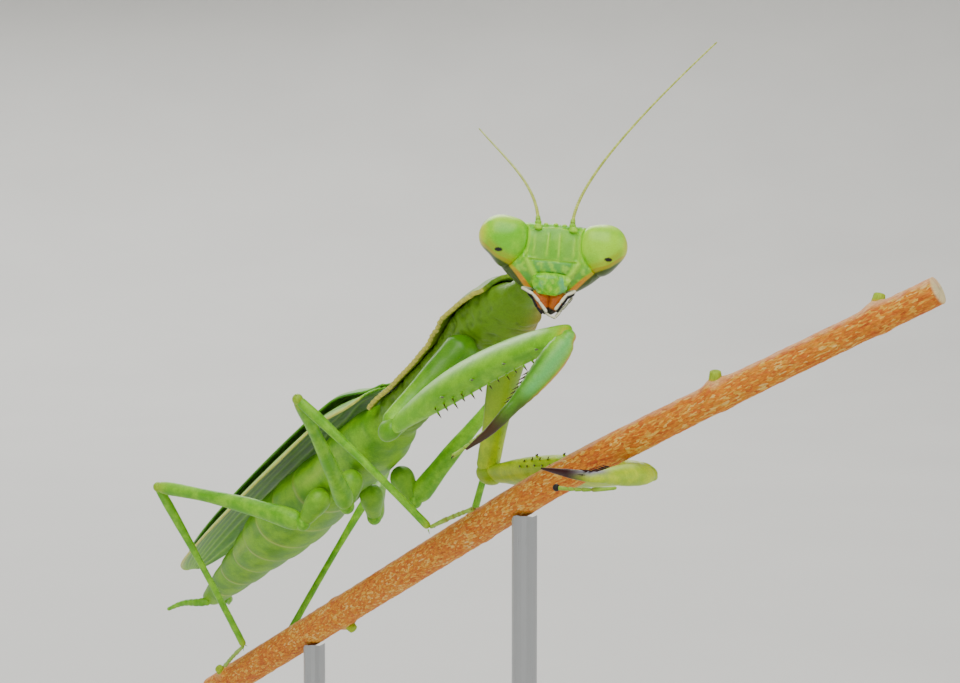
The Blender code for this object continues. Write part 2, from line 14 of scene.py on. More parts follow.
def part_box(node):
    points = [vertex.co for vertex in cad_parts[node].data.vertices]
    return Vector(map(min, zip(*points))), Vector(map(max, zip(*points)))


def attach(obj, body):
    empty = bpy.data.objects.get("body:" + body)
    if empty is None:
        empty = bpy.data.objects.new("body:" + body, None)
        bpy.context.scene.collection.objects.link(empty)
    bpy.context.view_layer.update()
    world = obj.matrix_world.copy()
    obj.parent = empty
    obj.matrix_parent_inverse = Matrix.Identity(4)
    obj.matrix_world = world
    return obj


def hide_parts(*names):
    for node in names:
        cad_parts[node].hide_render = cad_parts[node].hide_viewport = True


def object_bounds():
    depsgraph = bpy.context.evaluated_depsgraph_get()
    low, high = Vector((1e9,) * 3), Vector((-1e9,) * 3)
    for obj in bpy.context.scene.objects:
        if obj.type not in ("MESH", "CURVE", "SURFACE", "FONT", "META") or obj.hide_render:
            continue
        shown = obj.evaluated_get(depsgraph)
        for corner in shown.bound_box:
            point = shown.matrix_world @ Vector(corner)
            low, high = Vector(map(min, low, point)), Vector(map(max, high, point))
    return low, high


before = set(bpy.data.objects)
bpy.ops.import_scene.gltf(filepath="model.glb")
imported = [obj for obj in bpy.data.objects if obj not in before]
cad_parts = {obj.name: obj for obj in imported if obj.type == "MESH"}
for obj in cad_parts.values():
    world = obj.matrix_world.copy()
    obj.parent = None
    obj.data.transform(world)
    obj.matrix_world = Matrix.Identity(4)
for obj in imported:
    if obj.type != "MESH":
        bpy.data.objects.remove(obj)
cad_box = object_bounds()

# ---------------------------------------------------------------- driving sizes
MM = 0.001
UP = Vector((0, 0, 1))
base_low, base_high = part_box("stand_base")
# the neck joint stands this far from the middle of the underside of the base
NECK = Vector(((base_low.x + base_high.x) / 2, (base_low.y + base_high.y) / 2, base_low.z)) / MM
NECK += Vector((-0.7, -11.9, 40.3))

HEAD_AT = Vector((-0.35, -4.45, 2.75))
HEAD_FRAME = (Matrix.Translation(HEAD_AT) @ Matrix.Rotation(radians(-30), 4, "Z")
              @ Matrix.Rotation(radians(-4), 4, "X") @ Matrix.Rotation(radians(5.5), 4, "Y"))
WITHIN = 0.97                  # a skin's share of the size of the solid that it lies inside


# ---------------------------------------------------------------- numbers and curves
def mix(a, b, share):
    return a + (b - a) * share


def step(low, high, value):
    """0 below low, 1 above high, and an eased rise between them."""
    t = min(1.0, max(0.0, (value - low) / (high - low)))
    return t * t * (3 - 2 * t)


def band(value, low, high, soft):
    """1 between low and high, falling to 0 over the soft edge outside them."""
    return step(low - soft, low + soft, value) * (1 - step(high - soft, high + soft, value))


def bump(value, centre, width):
    return exp(-((value - centre) / width) ** 2)


def facing(turn, at, width):
    """1 where a turn in radians is near the angle `at`, fading over the width, in degrees."""
    away = atan2(sin(turn - radians(at)), cos(turn - radians(at)))
    return exp(-(away / radians(width)) ** 2)


def rough(place, size, seed=0.0):
    """Smooth noise from -1 to 1 whose lumps are about `size` across."""
    return noise.noise(place / size + Vector((seed, seed * 1.7, seed * 0.6)))


def read_rows(rows, at):
    """Values eased between rows of (place, value, value...)."""
    for low, high in zip(rows, rows[1:]):
        if at <= high[0]:
            t = step(low[0], high[0], at)
            return [mix(a, b, t) for a, b in zip(low[1:], high[1:])]
    return list(rows[-1][1:])


def glide(rows, at):
    """Values on a smooth curve through rows of (place, value, value...)."""
    i = next((i for i in range(1, len(rows)) if at <= rows[i][0]), len(rows) - 1)
    before, low, high, after = (rows[max(0, min(len(rows) - 1, i + j))] for j in (-2, -1, 0, 1))
    span = high[0] - low[0]
    t = (at - low[0]) / span
    values = []
    for w, a, b, c in zip(before[1:], low[1:], high[1:], after[1:]):
        rise_in = (b - w) / (high[0] - before[0]) * span
        rise_out = (c - a) / (after[0] - low[0]) * span
        values.append((2 * t ** 3 - 3 * t * t + 1) * a + (t ** 3 - 2 * t * t + t) * rise_in
                      + (3 * t * t - 2 * t ** 3) * b + (t ** 3 - t * t) * rise_out)
    return values


def bezier(points, share):
    points = list(points)
    while len(points) > 1:
        points = [mix(a, b, share) for a, b in zip(points, points[1:])]
    return points[0]


def bowed(start, end, bow=Vector()):
    """A straight run between two joints, bowed sideways by a vector."""
    return lambda s: mix(start, end, s) + bow * 4 * s * (1 - s)


def rounded(points, rounds=3):
    """A path through the points with its corners cut; the share is of its length."""
    for _ in range(rounds):
        cut = [points[0]]
        for a, b in zip(points, points[1:]):
            cut += [mix(a, b, 0.25), mix(a, b, 0.75)]
        points = cut + [points[-1]]
    lengths = [0.0]
    for a, b in zip(points, points[1:]):
        lengths.append(lengths[-1] + (b - a).length)

    def along(s):
        run = min(max(s, 0.0), 1.0) * lengths[-1]
        i = next(i for i in range(1, len(lengths)) if run <= lengths[i] + 1e-6)
        span = lengths[i] - lengths[i - 1]
        return mix(points[i - 1], points[i], (run - lengths[i - 1]) / span)
    return along


def square_to(axis, towards):
    """The direction nearest to one vector that stands square to another."""
    axis = axis.normalized()
    return (towards - axis * towards.dot(axis)).normalized()


def off_line(x, z, line):
    """Distance from a broken line, positive above it."""
    best, sign = 1e9, 1.0
    for (x0, z0), (x1, z1) in zip(line, line[1:]):
        run, rise = x1 - x0, z1 - z0
        t = min(1.0, max(0.0, ((x - x0) * run + (z - z0) * rise) / (run * run + rise * rise)))
        away = sqrt((x - x0 - t * run) ** 2 + (z - z0 - t * rise) ** 2)
        if away < best:
            best = away
            sign = 1.0 if run * (z - z0) - rise * (x - x0) > 0 else -1.0
    return best * sign


# ---------------------------------------------------------------- mesh making
def new_mesh():
    """A mesh whose points carry their place on the flattened piece and six masks."""
    bm = bmesh.new()
    for layer in ("lay", "marks", "more_marks"):
        bm.verts.layers.float_vector.new(layer)
    return bm


def mark(bm, vert, lay, marks):
    layers = bm.verts.layers.float_vector
    marks = (*marks, 0, 0, 0, 0, 0, 0)
    vert[layers["lay"]] = lay
    vert[layers["marks"]] = marks[:3]
    vert[layers["more_marks"]] = marks[3:6]


def wrap(bm, steps, sides, surface):
    """Roll a grid into a tube: surface(row, turn) gives a point, its lay and its marks."""
    grid = bmesh.ops.create_grid(bm, x_segments=sides, y_segments=steps, size=1.0)["verts"]
    for vert in grid:
        row = round((vert.co.y / 2 + 0.5) * steps)
        place, lay, marks = surface(row, tau * (vert.co.x / 2 + 0.5))
        vert.co = place
        mark(bm, vert, lay, marks)
    bmesh.ops.remove_doubles(bm, verts=grid, dist=0.0005)


def loft(bm, centre, half, steps=24, sides=16, up=UP, relief=None, marks=None, ends=(1.0, 1.0)):
    """A closed sleeve round centre(share), with half(share) giving (side, upright).

    relief(share, turn, lay) adds to the radius, marks(share, turn, lay) gives the masks,
    and ends says how deep each end's dome is in radii.
    """
    shares = [0.5 - 0.5 * cos(pi * i / steps) for i in range(steps + 1)]
    points = [centre(s) for s in shares]
    runs = [0.0]
    for a, b in zip(points, points[1:]):
        runs.append(runs[-1] + (b - a).length)
    rows = []
    for i, share in enumerate(shares):
        ahead = (points[min(i + 1, steps)] - points[max(i - 1, 0)]).normalized()
        side = ahead.cross(up).normalized()
        half_side, half_up = half(share)
        dome = 1.0
        for run, depth in ((runs[i], ends[0]), (runs[-1] - runs[i], ends[1])):
            reach = depth * min(half_side, half_up)
            if run < reach:
                dome *= sqrt(max(0.0, 1 - (1 - run / reach) ** 2))
        rows.append((share, points[i], side, side.cross(ahead), half_side, half_up, runs[i], dome))

    def surface(row, turn):
        share, point, side, upright, half_side, half_up, run, dome = rows[row]
        lay = Vector((half_side * cos(turn), run, half_up * sin(turn)))
        swell = 1.0
        if relief and dome > 0:
            swell += relief(share, turn, lay) / max(half_side, half_up)
        place = point + (side * lay.x + upright * lay.z) * dome * swell
        return place, lay, (marks(share, turn, lay) if marks else ())
    wrap(bm, steps, sides, surface)


def ball(bm, matrix, fine, shape=None, marks=None):
    """An even-faced sphere, shaped by a function of its unit point and then placed."""
    sphere = bmesh.ops.create_icosphere(bm, subdivisions=fine, radius=1.0)["verts"]
    for vert in sphere:
        point = shape(vert.co.copy()) if shape else vert.co.copy()
        vert.co = matrix @ point
        mark(bm, vert, point, marks(point) if marks else ())


def spike(bm, root, tip, radius, bend=Vector(), dark=0.35, slot=0):
    """A tapered spine or claw: the mark in the slot turns on from the dark share to the tip."""
    askew = Vector((0.3, 0.5, 0.8))    # no spine runs this way, so it can set the sleeve upright
    loft(bm, bowed(root, tip, bend), lambda s: (radius * (1 - 0.92 * s),) * 2, steps=6, sides=6,
         up=square_to(tip - root, askew), ends=(0.4, 0.4),
         marks=lambda s, turn, lay: (*[0] * slot, step(dark, dark + 0.3, s)))


def finish_piece(name, bm, material, nodes, levels=1):
    """Turn a millimetre mesh into a placed piece that stands for its CAD nodes."""
    bmesh.ops.recalc_face_normals(bm, faces=bm.faces)
    bm.transform(Matrix.Scale(MM, 4) @ Matrix.Translation(NECK))
    mesh = bpy.data.meshes.new(name)
    bm.to_mesh(mesh)
    bm.free()
    mesh.shade_smooth()
    mesh.materials.append(material)
    piece = bpy.data.objects.new(name, mesh)
    bpy.context.scene.collection.objects.link(piece)
    if levels:
        smooth = piece.modifiers.new("smooth", "SUBSURF")
        smooth.levels = smooth.render_levels = levels
    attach(piece, "root")
    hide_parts(*nodes)
    return piece


# ---------------------------------------------------------------- finishes
def srgb(code):
    """A colour written as #RRGGBB, turned to the linear values that the shader takes."""
    parts = [int(code[i:i + 2], 16) / 255 for i in (1, 3, 5)]
    return (*[c / 12.92 if c <= 0.04045 else ((c + 0.055) / 1.055) ** 2.4 for c in parts], 1.0)


def add(tree, kind, sockets=(), to=None, **settings):
    """Add a node with its settings; a socket takes a value or another node's output.

    to names an output, and the socket further on that it feeds.
    """
    made = tree.nodes.new(kind)
    for name, value in settings.items():
        setattr(made, name, value)
    for key, value in dict(sockets).items():
        if isinstance(value, bpy.types.NodeSocket):
            tree.links.new(value, made.inputs[key])
        else:
            made.inputs[key].default_value = value
    if to:
        tree.links.new(made.outputs[to[0]], to[1])
    return made


def new_finish(name, ior=1.5, coat=0.0, glow=0.0, metallic=0.0):
    """An empty finish: its node tree and its shader; glow is light that soaks through."""
    material = bpy.data.materials.new(name)
    material.use_nodes = True
    shader = material.node_tree.nodes["Principled BSDF"]
    for socket, value in (("IOR", ior), ("Coat Weight", coat), ("Coat Roughness", 0.12),
                          ("Metallic", metallic), ("Subsurface Weight", glow),
                          ("Subsurface Radius", (0.5, 0.9, 0.2)), ("Subsurface Scale", 0.35 * MM)):
        shader.inputs[socket].default_value = value
    return material, material.node_tree, shader


def paint_marks(tree, colour, layer, codes):
    """Lay a marked colour over the finish for each channel of a painted layer."""
    masks = add(tree, "ShaderNodeAttribute", attribute_name=layer).outputs["Vector"]
    parts = add(tree, "ShaderNodeSeparateXYZ", {"Vector": masks})
    for part, code in zip(parts.outputs, codes):
        colour = add(tree, "ShaderNodeMix", {0: part, 6: colour, 7: srgb(code)},
                     data_type="RGBA").outputs[2]
    return colour


def cuticle(name, deep, light, marks=(), mottle=1.4, grain=0.09, relief=0.012, stretch=(1, 1, 1),
            rough_range=(0.32, 0.5), coat=0.0, glow=0.0, speckle=None):
    """Insect cuticle: a two-tone mottle, up to six marked colours and a fine pebbled grain.

    mottle and grain are the sizes of the patterns in millimetres, relief is the depth of
    the grain, and stretch draws both patterns out along the piece.
    """
    material, tree, shader = new_finish(name, 1.42, coat, glow)
    lay = add(tree, "ShaderNodeAttribute", attribute_name="lay").outputs["Vector"]
    lay = add(tree, "ShaderNodeMapping", {"Vector": lay, "Scale": stretch}).outputs["Vector"]
    broad = add(tree, "ShaderNodeTexNoise", {"Vector": lay, "Scale": 1 / mottle, "Detail": 5.0,
                                             "Roughness": 0.62}).outputs["Fac"]
    share = add(tree, "ShaderNodeMapRange", {"Value": broad, "From Min": 0.36, "From Max": 0.64},
                interpolation_type="SMOOTHSTEP").outputs["Result"]
    colour = add(tree, "ShaderNodeMix", {0: share, 6: srgb(deep), 7: srgb(light)},
                 data_type="RGBA").outputs[2]
    fine = add(tree, "ShaderNodeTexNoise", {"Vector": lay, "Scale": 1 / grain, "Detail": 3.0,
                                            "Roughness": 0.55}).outputs["Fac"]
    if speckle:
        dots = add(tree, "ShaderNodeTexVoronoi", {"Vector": lay, "Scale": 1 / (grain * 3)})
        spot = add(tree, "ShaderNodeMapRange", {"Value": dots.outputs["Distance"], "From Min": 0.16,
                                                "From Max": 0.3, "To Min": 0.6, "To Max": 0.0})
        colour = add(tree, "ShaderNodeMix", {0: spot.outputs["Result"], 6: colour, 7: srgb(speckle)},
                     data_type="RGBA").outputs[2]
    for layer, codes in (("marks", marks[:3]), ("more_marks", marks[3:])):
        if codes:
            colour = paint_marks(tree, colour, layer, codes)
    shade = add(tree, "ShaderNodeMapRange", {"Value": fine, "From Min": 0.3, "From Max": 0.7,
                                             "To Min": 0.86, "To Max": 1.1}).outputs["Result"]
    add(tree, "ShaderNodeMix", {0: 1.0, 6: colour, 7: shade}, data_type="RGBA", blend_type="MULTIPLY",
        to=(2, shader.inputs["Base Color"]))
    add(tree, "ShaderNodeMapRange", {"Value": broad, "From Min": 0.3, "From Max": 0.7,
                                     "To Min": rough_range[0], "To Max": rough_range[1]},
        to=("Result", shader.inputs["Roughness"]))
    add(tree, "ShaderNodeBump", {"Height": fine, "Strength": 1.0, "Distance": relief * MM},
        to=("Normal", shader.inputs["Normal"]))
    return material


def twig_bark(name):
    """Young bark: short cream, orange and red flecks drawn out along the twig, and dry."""
    material, tree, shader = new_finish(name, 1.45)
    lay = add(tree, "ShaderNodeAttribute", attribute_name="lay").outputs["Vector"]
    drawn = add(tree, "ShaderNodeMapping", {"Vector": lay, "Scale": (1, 0.34, 1)}).outputs["Vector"]
    warp = add(tree, "ShaderNodeTexNoise", {"Vector": drawn, "Scale": 4.0, "Detail": 2.0})
    bent = add(tree, "ShaderNodeMix", {0: 0.2, 4: drawn, 5: warp.outputs["Color"]}, data_type="VECTOR")
    flecks = add(tree, "ShaderNodeTexVoronoi", {"Vector": bent.outputs[1], "Scale": 1 / 0.085})
    tone = add(tree, "ShaderNodeSeparateColor", {"Color": flecks.outputs["Color"]}).outputs[0]
    patch = add(tree, "ShaderNodeTexNoise", {"Vector": drawn, "Scale": 1 / 1.1, "Detail": 3.0}).outputs["Fac"]
    tone = add(tree, "ShaderNodeMath", {0: tone, 1: patch}, operation="ADD").outputs[0]
    tone = add(tree, "ShaderNodeMath", {0: tone, 1: 0.55}, operation="MULTIPLY").outputs[0]
    ramp = add(tree, "ShaderNodeValToRGB", {"Fac": tone})
    stops = ((0.14, "#A83C0A"), (0.32, "#C86408"), (0.48, "#DC8A0C"), (0.6, "#CC6414"), (0.76, "#E4AC34"),
             (0.92, "#E8C878"))
    bands = ramp.color_ramp.elements
    made = [bands[0], *[bands.new(place) for place, _ in stops[1:-1]], bands[len(bands) - 1]]
    for stop, (place, code) in zip(made, stops):
        stop.position, stop.color = place, srgb(code)
    # the scars and the cut ends, painted light on the upper side, and the green of the leaf stubs
    colour = paint_marks(tree, ramp.outputs["Color"], "marks", ("#E2D09A", "#E4B084", "#A0BC1E"))
    fine = add(tree, "ShaderNodeTexNoise", {"Vector": drawn, "Scale": 1 / 0.07, "Detail": 4.0}).outputs["Fac"]
    shade = add(tree, "ShaderNodeMapRange", {"Value": fine, "From Min": 0.3, "From Max": 0.7,
                                             "To Min": 0.72, "To Max": 1.15}).outputs["Result"]
    add(tree, "ShaderNodeMix", {0: 1.0, 6: colour, 7: shade}, data_type="RGBA", blend_type="MULTIPLY",
        to=(2, shader.inputs["Base Color"]))
    shader.inputs["Roughness"].default_value = 0.78
    height = add(tree, "ShaderNodeMath", {0: flecks.outputs["Distance"], 1: fine}, operation="SUBTRACT")
    add(tree, "ShaderNodeBump", {"Height": height.outputs[0], "Strength": 1.0, "Distance": -0.03 * MM},
        to=("Normal", shader.inputs["Normal"]))
    return material


def made_surface(name, code, roughness, metallic=0.0, grain=(0.1, 0.1, 0.1), relief=0.002, coat=0.0):
    """A stand or floor surface: one colour, worked in the grain's sizes in millimetres."""
    material, tree, shader = new_finish(name, coat=coat, metallic=metallic)
    place = add(tree, "ShaderNodeTexCoord").outputs["Object"]
    scale = [1 / (size * MM) for size in grain]
    place = add(tree, "ShaderNodeMapping", {"Vector": place, "Scale": scale}).outputs["Vector"]
    wear = add(tree, "ShaderNodeTexNoise", {"Vector": place, "Scale": 1.0, "Detail": 3.0}).outputs["Fac"]
    shade = add(tree, "ShaderNodeMapRange", {"Value": wear, "To Min": 0.94, "To Max": 1.04})
    add(tree, "ShaderNodeMix", {0: 1.0, 6: srgb(code), 7: shade.outputs["Result"]}, data_type="RGBA",
        blend_type="MULTIPLY", to=(2, shader.inputs["Base Color"]))
    add(tree, "ShaderNodeMapRange", {"Value": wear, "To Min": roughness * 0.8, "To Max": roughness * 1.2},
        to=("Result", shader.inputs["Roughness"]))
    add(tree, "ShaderNodeBump", {"Height": wear, "Strength": 1.0, "Distance": relief * MM},
        to=("Normal", shader.inputs["Normal"]))
    return material


# ---------------------------------------------------------------- head
# the yellow line that runs under each eye and down the cheek, as (|x|, z) in the head's frame
CHEEK_LINE = [(1.0, -2.35), (1.32, -2.03), (1.9, -1.39), (2.4, -0.93), (3.19, -0.58), (3.61, -0.27),
              (4.4, 0.3)]
# the swollen ridge from the foot of the shield down beside the lip
CHEEK_RIDGE = [(1.45, -0.58), (1.2, -1.05), (1.0, -1.38), (0.7, -1.56)]
# the bluish hollow between that ridge and the stripe
CHEEK_HOLLOW = [(2.0, -0.75), (1.65, -1.15), (1.2, -1.65)]
FACE_WIDE, FACE_TOP, FACE_FOOT = 1.42, 1.32, -0.5
EYE_MIDDLE = Vector((2.86, 0.1, 0.42))
EYE_DEPTH = 1.38               # from the middle of an eye to its front
EYE_LEVEL = 0.8                # how far forwards its dome starts where it meets the face
PUPIL = (3.1, -0.18)           # the dark spot that seems to look back, as (|x|, z)


def eye_outline(angle, side):
    """Radius of the eye seen from the front; 0 is outwards and a right angle is up."""
    tucked = 0.12 * facing(angle, -60, 28) - 0.1 * facing(angle, 15, 50) if side < 0 else 0.0
    return (1.34 + 0.2 * facing(angle, 138, 26) + 0.1 * facing(angle, 62, 40)
            + 0.24 * facing(angle, -98, 28) - 0.14 * facing(angle, -38, 30) - tucked)


def past_eye(x, z):
    """How far a place on the face lies outside the eye's outline."""
    wide, z = abs(x) - EYE_MIDDLE.x, z - EYE_MIDDLE.z
    return sqrt(wide * wide + z * z) - eye_outline(atan2(z, wide), x)


def shield_top(x):
    """The shield's arched top edge."""
    return FACE_TOP - 0.28 * (x / FACE_WIDE) ** 2


def face_plate(x, z):
    """1 on the shield between the antennae and the mouth, whose top edge is arched."""
    wide = FACE_WIDE + 0.04 * z
    return band(abs(x), -1, wide, 0.04) * band(z, FACE_FOOT, shield_top(x), 0.04)


def lip_plate(x, z):
    """1 on the short plate between the shield and the upper lip."""
    return band(abs(x), -1, mix(0.84, 1.1, step(-1.3, -0.6, z)), 0.04) * band(z, -1.26, -0.58, 0.04)


def face_ridges(x, z):
    """The raised lines: keels down the plates, and the edges of the plates and eyes; their pale colour is a
    painted highlight.
    """
    keels = bump(abs(x + 0.04), 0.32, 0.055) * band(z, -0.35, 1.0, 0.15)
    outer = bump(abs(x), 1.12, 0.05) * band(z, -0.3, 0.75, 0.2) * 0.8
    bars = (bump(x, 0, 0.06) + bump(abs(x), 0.6, 0.08)) * band(z, -1.12, -0.72, 0.1) * 0.7
    arch = bump(z, shield_top(x) + 0.02, 0.04) * band(abs(x), -1, 1.3, 0.1)
    sides = bump(abs(x), FACE_WIDE + 0.06, 0.05) * band(z, -0.4, 1.1, 0.15)
    hem = bump(z, FACE_FOOT - 0.03 + 0.06 * (x / 1.4) ** 2, 0.04) * band(abs(x), -1, 1.45, 0.1)
    orbit = bump(past_eye(x, z), 0.07, 0.05) * step(-0.9, -0.3, z) * 0.9
    return min(1.0, max(keels, outer, bars, arch * 0.8, sides, hem * 0.8, orbit))


def build_head():
    """The capsule, with the shield, lip, cheeks and orbits raised from it."""
    rows = [(-2.36, 0.0, 0.0, 0.0), (-2.33, 0.9, -0.35, 0.9), (-2.2, 1.4, -0.55, 1.05),
            (-1.85, 2.0, -0.72, 1.2), (-1.45, 2.5, -0.9, 1.35), (-1.0, 2.9, -1.04, 1.48),
            (-0.5, 2.88, -1.1, 1.58), (0.3, 2.62, -1.1, 1.6), (1.0, 2.42, -0.98, 1.42),
            (1.42, 2.02, -0.74, 1.15), (1.56, 1.5, -0.3, 0.88), (1.6, 0.0, 0.25, 0.25)]
    steps, sides = 104, 176
    heights = [mix(rows[0][0], rows[-1][0], 0.5 - 0.5 * cos(pi * i / steps)) for i in range(steps + 1)]
    sections = [glide(rows, height) for height in heights]

    def surface(row, turn):
        z = heights[row]
        half_wide, front, rear = sections[row]
        middle = 0.25
        depth = (middle - front) if sin(turn) < 0 else (rear - middle)
        half_wide = max(0.0, half_wide)
        x = half_wide * cos(turn)
        full = max(0.0, 1 - abs(cos(turn)) ** 2.5) ** 0.4
        y = middle + depth * full * (1 if sin(turn) > 0 else -1)
        ahead = step(0.15, 0.55, middle - y)
        plate, lip, ridge = face_plate(x, z), lip_plate(x, z), face_ridges(x, z)
        cheek = bump(off_line(abs(x), z, CHEEK_RIDGE), 0, 0.15)
        spot = Vector((x, y, z))
        push = 0.05 * plate + 0.11 * lip + 0.07 * ridge + 0.17 * cheek
        push -= 0.09 * bump(abs(x), FACE_WIDE + 0.17, 0.05) * band(z, -0.5, 1.2, 0.1)
        push -= 0.08 * bump(z, shield_top(x) + 0.1, 0.04) * band(abs(x), -1, 1.3, 0.1)
        push -= 0.08 * bump(z, -0.56, 0.04) * band(abs(x), -1, 1.4, 0.05)
        past = past_eye(x, z)
        push -= 0.05 * bump(past, 0.0, 0.05) + 0.3 * (1 - step(-0.2, -0.04, past))
        # low knobs on the cheeks, between the shield's foot and the stripe
        push += 0.09 * max(0.0, rough(spot, 0.3, 6.0)) * band(z, -1.9, -0.35, 0.15) * (1 - plate) * (1 - lip)
        y -= (push + 0.02 * rough(spot, 0.45)) * ahead
        place = Vector((x, y, z))
        away = off_line(abs(x), z, CHEEK_LINE)
        half_stripe = mix(0.14, 0.07, step(1.2, 3.2, abs(x)))
        stripe = (1 - step(half_stripe - 0.04, half_stripe + 0.02, abs(away))) * step(-0.1, 0.4, middle - y)
        # under is painted shade: the dark green below the cheek line, on the underside of the head
        under = step(0.0, 0.08, -away)
        low = 1 - step(-1.6, -1.0, z)
        nape = step(0.5, 1.0, y)
        knobs = step(0.1, 0.35, rough(spot, 0.3, 6.0)) * band(z, -1.9, -0.35, 0.15) * (1 - cheek) * 0.5
        panes = plate * (0.35 + 0.65 * bump(abs(x), 0.82, 0.3) * step(1.0, 0.3, z))
        hollow = 0.7 * bump(off_line(abs(x), z, CHEEK_HOLLOW), 0, 0.2) * (1 - plate) * step(0.0, 0.15, away)
        # the third mask is a painted highlight on the raised lines, the cheek ridges and the knobs
        marks = (panes * ahead, max(lip * (1 - 0.8 * ridge), hollow) * ahead,
                 max(ridge * 0.75, cheek * 0.8, knobs) * ahead, max(under, 0.5 * nape), stripe, stripe * low)
        return HEAD_FRAME @ place, place, marks
    bm = new_mesh()
    wrap(bm, steps, sides, surface)

    # three eyelets on the crown, and a collar round the root of each antenna
    for x, z in ((-0.55, 1.5), (0.0, 1.53), (0.5, 1.51)):
        ball(bm, HEAD_FRAME @ Matrix.Translation((x, -0.55, z)) @ Matrix.Diagonal((0.14, 0.16, 0.1, 1)), 3,
             marks=lambda point: (0, 0, 0.9))
    for side in (1, -1):
        loft(bm, lambda s: HEAD_FRAME @ Vector((side, -0.95, mix(1.15, 1.5, s))),
             lambda s: (0.27 - 0.05 * s,) * 2, steps=8, sides=20, up=Vector((0, 1, 0)), ends=(0.3, 0.3),
             marks=lambda s, turn, lay: (0, 0, 0.6))
    finish_piece("head_skin", bm, FINISH["head"], ["head"])


def build_eye(side, hand):
    """One compound eye, its outline fuller towards the crown and drawn in below."""
    def shape(unit):
        radius = eye_outline(atan2(unit.z, unit.x), side)
        level = EYE_LEVEL * facing(atan2(unit.z, unit.x), 185, 62) if unit.y < 0 else 0.0
        deep = mix(level, EYE_DEPTH, abs(unit.y) ** 0.78) * (1 if unit.y > 0 else -1)
        point = EYE_MIDDLE + Vector((unit.x * radius, deep, unit.z * radius))
        return Vector((side * point.x, point.y, point.z))

    def marks(point):
        x, z = abs(point.x), point.z
        away = off_line(x, z, CHEEK_LINE)
        half_stripe = mix(0.14, 0.07, step(2.2, 3.2, x))
        # rim is a painted highlight along the top of the eye
        rim = step(1.3, 1.85, z) * 0.85
        outer = step(3.7, 4.2, x) * step(-0.6, 0.4, z) * 0.8
        olive = bump(away, 0.3, 0.22) * (1 - step(3.6, 4.0, x)) * 0.55
        spot = ((x - PUPIL[0]) / 0.23) ** 2 + ((z - PUPIL[1]) / 0.12) ** 2
        pupil = (1 - step(0.75, 1.15, spot)) * (1 if point.y < 0 else 0)
        stripe = 1 - step(half_stripe, half_stripe + 0.06, abs(away - 0.04))
        # the second mask is painted shade: the dark green on the eye below the cheek line
        return (max(stripe, olive), step(0.0, 0.1, -away), rim, outer, pupil)
    bm = new_mesh()
    ball(bm, HEAD_FRAME, 6, shape, marks)
    finish_piece(f"eye_{hand}_dome", bm, FINISH["eye"], [f"eye_{hand}"], levels=0)


def build_antenna(hand):
    """Scape, pedicel and a long ringed thread."""
    reach = {"left": [(0.95, -0.95, 1.35), (0.6, -0.9, 3.4), (3.6, 2.0, 7.7), (8.56, 5.0, 13.44)],
             "right": [(-1.0, -0.95, 1.35), (-1.12, -0.6, 3.6), (-3.0, 4.5, 5.2), (-4.94, 10.0, 7.5)]}[hand]
    controls = [HEAD_FRAME @ Vector(point) for point in reach]
    length = 15.5
    rings = 62

    def girth(s):
        run = s * length
        if run < 1.4:
            scape = [(0.0, 0.23), (0.6, 0.21), (0.68, 0.17), (1.1, 0.16), (1.4, 0.11)]
            return (read_rows(scape, run)[0],) * 2
        return (mix(0.1, 0.045, s) * (1 + 0.16 * abs(sin(pi * rings * s))),) * 2

    def marks(s, turn, lay):
        run = s * length
        return (1 - step(0.7, 1.6, run), bump(run, 0.78, 0.06),
                (0.5 - 0.5 * cos(tau * rings * s)) ** 6 * step(1.3, 1.6, run) * 0.6)
    bm = new_mesh()
    loft(bm, lambda s: bezier(controls, s), girth, steps=420, sides=8, up=Vector((0, 1, 0)), marks=marks)
    finish_piece(f"antenna_{hand}_thread", bm, FINISH["antenna"], [f"antenna_{hand}"])


def head_link(bm, path, rows, steps, sides, **more):
    """A sleeve laid out in the head's own frame; rows are (share, half width, half depth)."""
    loft(bm, lambda s: HEAD_FRAME @ path(s), lambda s: read_rows(rows, s), steps=steps, sides=sides,
         up=HEAD_FRAME.to_3x3() @ Vector((0, 1, 0)), **more)


